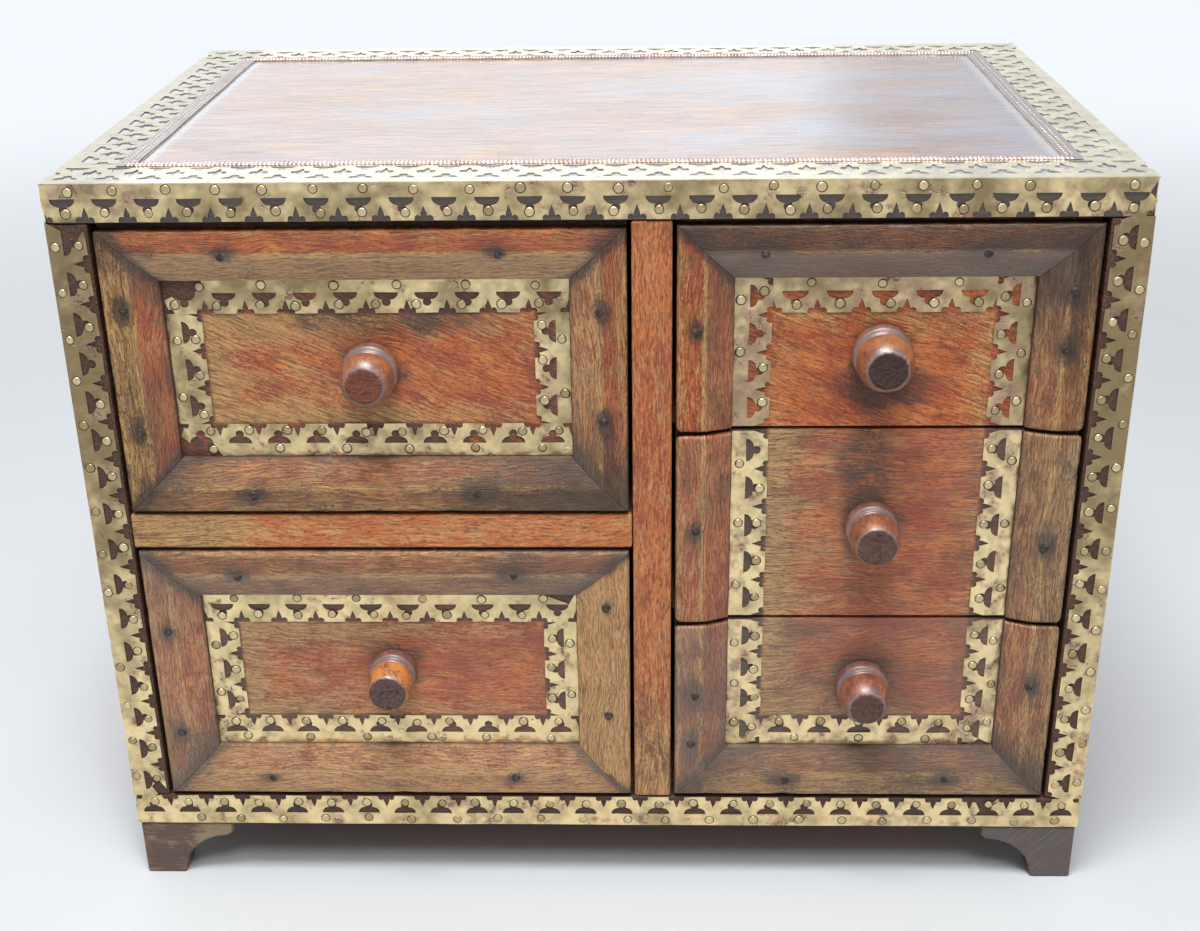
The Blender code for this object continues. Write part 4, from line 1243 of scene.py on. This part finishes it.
def brass_finish(name, shine, pink, tones=OLD_BRASS, glossy=False):
    """Old sheet brass. shine and pink are amounts, 0.5 in the middle. Low down it is painted brighter,
    a painted reflection of the lit floor, and high up at the chest's outer edges it is painted dimmer.
    Glossy brass has a clear gloss, and is greyer with less of it at the left end of the chest."""
    material, coordinates = new_material(name)
    place = grain(coordinates, "XYZ")
    patch = cloud(place, (26.0, 26.0, 26.0))
    dent = cloud(place, (11.0, 11.0, 11.0), 2.0)
    fine = cloud(place, (4.0, 4.0, 4.0), 4.0)
    speck = cloud(place, (1.2, 1.2, 1.2), 2.0)
    blot = cloud(place, (6.0, 6.0, 6.0), 5.0)
    hair = cloud(place, (9.0, 0.5, 0.5), 2.0)
    smear = fade(cloud(place, (7.0, 7.0, 7.0), 4.0) * 0.7 + patch * 0.3, 0.50, 0.66)
    spots = fade(blot * 0.6 + speck * 0.4, 0.57, 0.68)
    x, _, z = axes(place)
    # Painted reflection: brighter low down where the strips face the lit floor, dimmer high at the outer
    # edges.
    low_floor_reflection = fade(z, 250.0, 60.0)
    beside = fade(abs(x), 183.0, 187.0) * (1.0 - low_floor_reflection) * fade(z, 294.0, 290.0)
    lustre = patch * 0.40 + fine * 0.20 + dent * 0.4 + low_floor_reflection * 0.075 - beside * SIDE_REFLECTION_DIM + shine
    pinkish = fade(blot * 0.7 + patch * 0.3 + pink, 0.97, 1.12)
    colour = blend(tones[0], tones[1], fade(lustre, 0.87, 1.17))
    colour = blend(colour, tones[2], pinkish * 0.75)
    colour = blend(colour, BRASS_DARK, spots * 0.62 + smear * 0.26)
    if glossy:
        on_left = fade(x, -166.0, -176.0)
        colour = blend(colour, LEFT_GREY, on_left * 0.7)
        set_fixed(material, Coat_IOR=2.0, Coat_Roughness=0.3)
        feed(material, "Coat Weight", 1.0 - on_left * 0.5)
    roughness = 0.25 + fine * 0.20 + spots * 0.25 + hair * 0.08
    height = dent * 1.5 + fine * 0.18 + hair * 0.04 - spots * 0.12
    dress(material, colour, roughness, height, 0.0017)
    feed(material, "Metallic", 1.0 - spots * 0.6)
    return material


carcass_brass = brass_finish("carcass_sheet_brass", 0.52, 0.47)
top_brass = brass_finish("top_brass_and_painted_glare", 0.54, 0.42, PALE_BRASS_AND_GLARE, glossy=True)
DRAWER_BRASS = {
    "upper_left_drawer": (0.53, 0.46),
    "lower_left_drawer": (0.55, 0.44),
    "upper_right_drawer": (0.50, 0.55),
    "middle_right_drawer": (0.60, 0.50),
    "lower_right_drawer": (0.54, 0.50),
}
# How far the sheet sways along each axis, and over what distance.
FRONT_WAVE = (0.0007, 0.0005, 0.0007)
TOP_WAVE = (0.0007, 0.0007, 0.0004)
SIDE_WAVE = (0.0002, 0.0007, 0.0007)
DRAWER_WAVE = (0.0006, 0.0004, 0.0006)
WAVE_SIZE = 0.011
# A tear under the table, so that a strip without tears has one to measure from.
FAR_AWAY = (0.0, 0.0, -1.0)

pierced_sheet = sheet_tree()
narrow_tile = strip_tile()
wide_tile = band_tile()


def lay_brass(name, body, strips, tile, wave, nodes, material=carcass_brass, tears=()):
    rows = [row for strip in strips for row in strip_rows(strip)]
    torn_mesh = bpy.data.meshes.new("tears")
    torn_mesh.from_pydata([*tears, FAR_AWAY], [], [])
    torn = add_object("tears", torn_mesh)
    values = {"Tile": tile, "Thickness": BRASS_SHEET, "Wave": wave, "Wave Size": WAVE_SIZE}
    values.update({"Tears": torn, "Tear Reach": TEAR_REACH, "Material": material})
    piece = run_tree(pierced_sheet, name, layout_mesh(name, rows), values)
    bpy.data.objects.remove(torn)
    piece.data.shade_smooth()
    piece.data.set_sharp_from_angle(angle=radians(35.0))
    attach(piece, body)
    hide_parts(*nodes)


front_low, front_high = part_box("front_brass_border")
wood_front_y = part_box("left_side")[0].y
front_strips = ring_strips(
    (front_low.x + EDGE_INSET, front_low.z + EDGE_INSET),
    (front_high.x - EDGE_INSET, front_high.z + EDGE_INSET),
    (Vector((0.0, wood_front_y, 0.0)), X, Z, -Y),
    STRIP_WIDTH,
    ("top", "bottom"),
)
# Torn or missing places, as (right, up) from the middle of the chest's foot.
FRONT_TEARS = ((-0.196, 0.2880), (-0.190, 0.2885), (-0.187, 0.0440), (0.160, 0.0375), (0.199, 0.3040))
front_torn = [Vector((x, wood_front_y, z)) for x, z in FRONT_TEARS]
lay_brass(
    "front_brass_strips",
    "carcass",
    front_strips,
    narrow_tile,
    FRONT_WAVE,
    ["front_brass_border"],
    tears=front_torn,
)

top_low, top_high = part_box("top_brass_border")
wood_top_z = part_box("top_board")[1].z
top_bands = ring_strips(
    (top_low.x + EDGE_INSET, top_low.y + EDGE_INSET),
    (top_high.x - EDGE_INSET, top_high.y - EDGE_INSET),
    (Vector((0.0, 0.0, wood_top_z)), X, Y, Z),
    2 * STRIP_WIDTH,
    ("top", "bottom"),
)
top_strips = [band._replace(width=band.width / 2) for band in top_bands]
lay_brass("top_brass_bands", "carcass", top_strips, wide_tile, TOP_WAVE, ["top_brass_border"], top_brass)

side_strips = []
side_nodes = ["left_side_brass_border", "right_side_brass_border"]
for node, sign in zip(side_nodes, (-1, 1)):
    low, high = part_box(node)
    wood_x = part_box("left_side")[0].x if sign < 0 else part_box("right_side")[1].x
    ends = sorted((low.y * sign, high.y * sign))
    side_strips += ring_strips(
        (ends[0] + EDGE_INSET, low.z + EDGE_INSET),
        (ends[1] - EDGE_INSET, high.z - EDGE_INSET),
        (Vector((wood_x, 0.0, 0.0)), Y * sign, Z, X * sign),
        STRIP_WIDTH,
        ("left", "right"),
    )
lay_brass("side_brass_strips", "carcass", side_strips, narrow_tile, SIDE_WAVE, side_nodes)

# Torn or missing places, as (right, up) from the lower left corner of the drawer's strips.
UPPER_LEFT_HEAD_TEARS = ((0.0, 0.0716), (0.004, 0.0720), (0.009, 0.0725), (0.0, 0.0670), (0.003, 0.0680))
UPPER_LEFT_FOOT_TEARS = ((0.001, 0.0020), (0.006, 0.0010), (0.010, 0.0005))
DRAWER_TEARS = {
    "upper_left_drawer": UPPER_LEFT_HEAD_TEARS + UPPER_LEFT_FOOT_TEARS,
    "lower_left_drawer": ((0.150, 0.0715), (0.147, 0.0700)),
    "lower_right_drawer": ((0.1090, 0.0010),),
}
drawer_strips = {}
panel_plane = (Vector((0.0, panel_face_y, 0.0)), X, Z, -Y)
for drawer, rails in RAILS.items():
    nodes = [f"{drawer}_brass_border"]
    if not rails:
        nodes = [f"{drawer}_brass_border_left", f"{drawer}_brass_border_right"]
    low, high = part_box(nodes[0])[0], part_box(nodes[-1])[1]
    framed = len(rails) == 2
    width = FRAME_STRIP_WIDTH if framed else OPEN_STRIP_WIDTH
    through = ("top", "bottom") if framed else ("left", "right")
    sides = [*rails, "left", "right"]
    strips = ring_strips((low.x, low.z), (high.x, high.z), panel_plane, width, through, sides)
    drawer_strips[drawer] = strips
    torn = [Vector((low.x + x, panel_face_y, low.z + z)) for x, z in DRAWER_TEARS.get(drawer, ())]
    material = brass_finish(f"{drawer}_sheet_brass", *DRAWER_BRASS[drawer])
    lay_brass(f"{drawer}_brass_strips", drawer, strips, narrow_tile, DRAWER_WAVE, nodes, material, torn)
for tile in (narrow_tile, wide_tile):
    bpy.data.objects.remove(tile)


# Brass nails
# Short brass nails with flat hammered heads hold the strips: one near each lobe and a looser row
# along the margin. Black grime and painted shade fill the ring round each head.

NAIL_PALE = srgb(218, 201, 158)
NAIL_DULL = srgb(160, 141, 104)
NAIL_PINK = srgb(188, 158, 134)
# Grime, and painted shade, in the ring at the foot of each head.
NAIL_GRIME_AND_SHADE = srgb(66, 53, 40)
NAIL_RADIUS = 0.00165
NAIL_RING = 0.00198
NAIL_HEIGHT = 0.00034
NAIL_SIDES = 12
NAIL_PROFILE = (
    (NAIL_RING, 0.00004),
    (NAIL_RADIUS, 0.00008),
    (NAIL_RADIUS, 0.00018),
    (NAIL_RADIUS * 0.82, NAIL_HEIGHT * 0.85),
    (NAIL_RADIUS * 0.40, NAIL_HEIGHT),
)
GRIMY_RINGS = 2
NAIL_SCATTER = (0.0012, 0.0005, 0.0)
NAIL_PAST_LOBE = 0.0012
MARGIN_NAIL_INSET = 0.0027
CARCASS_NAIL_SPACING = 0.0178
DRAWER_NAIL_SPACING = 0.0235
# How far to the side of the lobes a drawer's nails were driven.
NAIL_BESIDE = {"upper_left_drawer": 0.0030, "upper_right_drawer": -0.0014}


def dome(name, profile, sides, stretch=(1.0, 1.0), uneven=0.0, tip=None):
    """A low dome on Z from its (radius, height) profile, flat on top or closed in a tip at a height."""
    bm = bmesh.new()
    rings = []
    for radius, height in profile:
        ring = []
        for i in range(sides):
            angle = 2 * pi * i / sides
            reach = radius * (1.0 + uneven * sin(3 * angle + 0.6))
            point = (stretch[0] * reach * cos(angle), stretch[1] * reach * sin(angle), height)
            ring.append(bm.verts.new(point))
        rings.append(ring)
    skin(bm, rings)
    if tip is None:
        bm.faces.new(rings[-1])
    else:
        fan(bm, rings[-1], (0.0, 0.0, tip))
    return add_object(name, smooth_mesh(bm, name))


def random_value(wire, kind, inputs, output=0):
    return wire.node("FunctionNodeRandomValue", {"data_type": kind}, inputs, output)


def head_tree():
    """Sets a head at each point, moved and sized a little at random, with some left out."""
    inputs = {"Head": "Object", "Scatter": "Vector", "Missing": "Float", "Seed": "Int"}
    inputs.update({"Material": "Material"})
    tree, given = new_tree("set_heads", inputs)
    points, seed = given["Geometry"], given["Seed"]
    lost_inputs = {"Probability": given["Missing"], "Seed": seed}
    lost = random_value(points, "BOOLEAN", lost_inputs, 3)
    kept_inputs = {"Geometry": points, "Selection": lost}
    kept = points.node("GeometryNodeDeleteGeometry", {"domain": "POINT"}, kept_inputs)
    turn = read_turn(points)
    back_inputs = {0: given["Scatter"], "Scale": -1.0}
    back = points.node("ShaderNodeVectorMath", {"operation": "SCALE"}, back_inputs)
    moved = random_value(points, "FLOAT_VECTOR", {0: back, 1: given["Scatter"], "Seed": seed + 1.0})
    offset = moved.node("FunctionNodeRotateVector", {}, {0: moved, 1: turn})
    kept = kept.node("GeometryNodeSetPosition", {}, {"Geometry": kept, "Offset": offset})
    tone = random_value(points, "FLOAT", {"Seed": seed + 3.0}, 1)
    marked_inputs = {"Geometry": kept, "Name": "tone", "Value": tone}
    kept = kept.node("GeometryNodeStoreNamedAttribute", {"data_type": "FLOAT"}, marked_inputs)
    size = random_value(points, "FLOAT", {2: 0.90, 3: 1.08, "Seed": seed + 2.0}, 1)
    set_inputs = {"Points": kept, "Instance": shape_of(given["Head"]), "Rotation": turn, "Scale": size}
    heads = kept.node("GeometryNodeInstanceOnPoints", {}, set_inputs)
    heads = heads.node("GeometryNodeRealizeInstances", {}, {0: heads})
    dressed_inputs = {"Geometry": heads, "Material": given["Material"]}
    end_tree(heads.node("GeometryNodeSetMaterial", {}, dressed_inputs))
    return tree


def nail_brass():
    material, coordinates = new_material("brass_nail_heads")
    place = grain(coordinates, "XYZ")
    patch = cloud(place, (9.0, 9.0, 9.0))
    speck = cloud(place, (0.9, 0.9, 0.9), 2.0)
    skirt = read_mark(place, "skirt")
    tone = read_mark(place, "tone")
    colour = blend(NAIL_DULL, NAIL_PALE, fade(patch * 0.3 + speck * 0.3 + tone * 0.4, 0.25, 0.75))
    colour = blend(colour, NAIL_PINK, fade(tone, 0.88, 0.98) * 0.6)
    # The ring at the foot of each head: grime and painted shade.
    colour = blend(colour, NAIL_GRIME_AND_SHADE, fade(skirt, 0.3, 0.9))
    dress(material, colour, 0.30 + speck * 0.16 + skirt * 0.4, speck + patch, 0.0002)
    feed(material, "Metallic", 1.0 - skirt * 0.8)
    return material


def nail_rows(strips, outer_spacing, beside=0.0):
    """(place, turn) of one nail at each lobe of a strip, or beside it, and of a row along its margin."""
    rows = []
    for start, inward, outward, length, width in strips:
        along = inward.cross(outward)
        turn = turn_of(along, inward, outward)
        first = start + outward * (BRASS_LIFT + BRASS_SHEET)
        lobe = (STRIP_MARGIN + LOBE_CENTRE + NAIL_PAST_LOBE) * width / STRIP_WIDTH
        for spacing, inset, aside in ((STRIP_PITCH, lobe, beside), (outer_spacing, MARGIN_NAIL_INSET, 0.0)):
            count = max(1, round(length / spacing))
            for i in range(count):
                rows.append((first + along * (length * (i + 0.5) / count + aside) + inward * inset, turn))
    return rows


set_heads = head_tree()


def drive_heads(name, body, rows, head, material, seed, scatter=(0.0, 0.0, 0.0), missing=0.0):
    """One piece on a body: a like head at each (place, turn)."""
    values = {"Head": head, "Material": material, "Seed": seed, "Scatter": scatter, "Missing": missing}
    piece = run_tree(set_heads, name, layout_mesh(name, rows), values)
    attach(piece, body)
    return piece


brass_head = dome("nail_head", NAIL_PROFILE, NAIL_SIDES)
head_marks = [(1.0,)] * (GRIMY_RINGS * NAIL_SIDES)
head_marks += [(0.0,)] * ((len(NAIL_PROFILE) - GRIMY_RINGS) * NAIL_SIDES)
store_marks(brass_head.data, ["skirt"], head_marks)
nail_material = nail_brass()
nail_sets = [
    ("front", "carcass", nail_rows(front_strips, CARCASS_NAIL_SPACING), 3, 0.05),
    ("side", "carcass", nail_rows(side_strips, CARCASS_NAIL_SPACING), 9, 0.08),
]
for index, drawer in enumerate(DRAWERS):
    rows = nail_rows(drawer_strips[drawer], DRAWER_NAIL_SPACING, NAIL_BESIDE.get(drawer, 0.0))
    nail_sets.append((drawer, drawer, rows, 20 + 5 * index, 0.06))
for name, body, rows, seed, missing in nail_sets:
    nails = drive_heads(
        f"{name}_brass_nails", body, rows, brass_head, nail_material, seed, NAIL_SCATTER, missing
    )
bpy.data.objects.remove(brass_head)


# Iron nails
# Hand-made iron nails through the mouldings, their round heads sunk level with the wood and black
# with rust.

IRON_BLACK = srgb(56, 48, 44)
IRON_GREY = srgb(98, 88, 80)
IRON_RADIUS = 0.00175
IRON_UNEVEN = 0.08
IRON_PROFILE = ((1.0, -0.0004), (1.0, 0.00008), (0.75, 0.0003), (0.35, 0.00038))
IRON_SCATTER = (0.001, 0.0006, 0.0)


def rusted_iron():
    material, coordinates = new_material("rusted_iron")
    patch = cloud(grain(coordinates, "XYZ"), (1.6, 1.6, 1.6))
    colour = blend(IRON_BLACK, IRON_GREY, fade(patch, 0.45, 0.7))
    set_fixed(material, Specular_IOR_Level=0.25)
    dress(material, colour, 0.66 + patch * 0.2, patch, 0.0004)
    return material


iron_material = rusted_iron()
iron_head = dome("iron_head", IRON_PROFILE, NAIL_SIDES, (IRON_RADIUS, IRON_RADIUS), IRON_UNEVEN)
for index, (drawer, spots) in enumerate(iron_nails.items()):
    rows = [(spot, turn_of(X, Z, -Y)) for spot in spots]
    drive_heads(f"{drawer}_iron_nails", drawer, rows, iron_head, iron_material, index, IRON_SCATTER)
bpy.data.objects.remove(iron_head)


# Copper trim
# A thin copper braid along the front and back of the top panel, two rows of slanting strands, and a
# narrow embossed copper strip along each side of it, all tacked to the inner edge of the bands.

COPPER_PINK = srgb(212, 192, 186)
COPPER_BROWN = srgb(170, 144, 136)
LACE_GREY = srgb(164, 160, 158)
BRAID_PITCH = 0.0016
BRAID_WIDTH = 0.0040
BRAID_SLANT = 42.0
BRAID_LIFT = 0.0001
BRAID_SCATTER = (0.0001, 0.0001, 0.0)
STRAND_SIZE = (0.0016, 0.0007)
STRAND_TALL = 0.00085
LACE_WIDTH = 0.0070
LACE_SHEET = 0.00014
LACE_RIM = 0.00026
LACE_LIFT = 0.0002
LACE_STEPS = 60
BOSS_SIZE = (0.0011, 0.0011)
BOSS_TALL = 0.00025
BOSS_PITCH = 0.0030
BEAD_SIDES = 8
BOSS_ASIDE = 0.0011
BOSS_ASKEW = 0.0007
BRAID_SWAY = 0.0006
LACE_SWAY = 0.00045
TRIM_DEEP = 0.0045
PAST_CORNER = 0.004
trim_low, trim_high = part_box("top_copper_trim")
inner_x = trim_high.x - LACE_WIDTH
inner_front, inner_back = trim_low.y + TRIM_DEEP, trim_high.y - TRIM_DEEP
brass_top_z = wood_top_z + BRASS_LIFT + BRASS_SHEET


def thin_copper():
    """Copper, pink in the braid and grey in the strips at the sides."""
    material, coordinates = new_material("thin_copper")
    place = grain(coordinates, "XYZ")
    patch = cloud(place, (8.0, 8.0, 8.0), 4.0)
    speck = cloud(place, (0.8, 0.8, 0.8), 2.0)
    at_side = fade(abs(axes(coordinates)[0]), inner_x - 0.001, inner_x)
    colour = blend(COPPER_PINK, COPPER_BROWN, fade(patch * 0.6 + speck * 0.4, 0.45, 0.68))
    colour = blend(colour, LACE_GREY, at_side * 0.7)
    set_fixed(material, Metallic=1.0)
    dress(material, colour, 0.34 + patch * 0.2, speck, 0.0001)
    return material


def bead(name, size, tall):
    """A low oval bead lying along X."""
    profile = ((1.0, 0.0), (0.88, tall * 0.55), (0.50, tall * 0.90))
    return dome(name, profile, BEAD_SIDES, size, tip=tall)


def lace_sway(y, centre_x):
    return noise.noise(Vector((y * 30.0, centre_x * 10.0, 4.0))) * LACE_SWAY


def lace_strip(name, centre_x, y0, y1):
    """A thin strip with raised rims, a little wavy."""
    rim = [(0.36, LACE_SHEET), (0.44, LACE_RIM), (0.5, LACE_SHEET), (0.5, 0.0)]
    profile = [*[(-u, h) for u, h in reversed(rim)], *rim]
    bm = bmesh.new()
    rings = []
    for i in range(LACE_STEPS + 1):
        y = y0 + (y1 - y0) * i / LACE_STEPS
        x, z = centre_x + lace_sway(y, centre_x), brass_top_z + LACE_LIFT
        rings.append([bm.verts.new((x + u * LACE_WIDTH, y, z + h)) for u, h in profile])
    skin(bm, rings)
    bm.faces.new(rings[0])
    bm.faces.new(rings[-1])
    bmesh.ops.recalc_face_normals(bm, faces=bm.faces)
    mesh = smooth_mesh(bm, name, 50.0)
    mesh.materials.append(copper_material)
    piece = add_object(name, mesh)
    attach(piece, "carcass")
    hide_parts("top_copper_trim")


copper_material = thin_copper()
strand = bead("strand", STRAND_SIZE, STRAND_TALL)
braid_rows = []
braid_half = inner_x + PAST_CORNER
for y, inner in ((inner_front - BRAID_WIDTH / 2, 1), (inner_back + BRAID_WIDTH / 2, -1)):
    for i in range(round(2 * braid_half / BRAID_PITCH)):
        x = -braid_half + (i + 0.5) * BRAID_PITCH
        sway = noise.noise(Vector((x * 22.0, y * 9.0, 0.0))) * BRAID_SWAY
        for row in (-1, 1):
            strand_x = x + (row + 1) * BRAID_PITCH / 4
            strand_y = y + sway + row * BRAID_WIDTH * 0.24
            turn = (0.0, 0.0, radians(BRAID_SLANT * row * inner))
            braid_rows.append((Vector((strand_x, strand_y, brass_top_z + BRAID_LIFT)), turn))
braid = drive_heads("top_copper_braid", "carcass", braid_rows, strand, copper_material, 5, BRAID_SCATTER)
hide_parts("top_copper_trim")
bpy.data.objects.remove(strand)

boss = bead("boss", BOSS_SIZE, BOSS_TALL)
boss_rows = []
for side, name in ((-1, "top_left_copper_lace"), (1, "top_right_copper_lace")):
    centre = side * (inner_x + LACE_WIDTH / 2)
    lace_strip(name, centre, inner_front - PAST_CORNER, inner_back + PAST_CORNER)
    count = round((inner_back - inner_front) / BOSS_PITCH)
    for i in range(count):
        y = inner_front + (inner_back - inner_front) * (i + 0.5) / count
        for row in (-1, 1):
            boss_x = centre + lace_sway(y, centre) + row * BOSS_ASIDE
            place = Vector((boss_x, y + row * BOSS_ASKEW, brass_top_z + LACE_LIFT + LACE_SHEET))
            boss_rows.append((place, (0.0, 0.0, 0.0)))
bosses = drive_heads("top_copper_bosses", "carcass", boss_rows, boss, copper_material, 6)
bpy.data.objects.remove(boss)
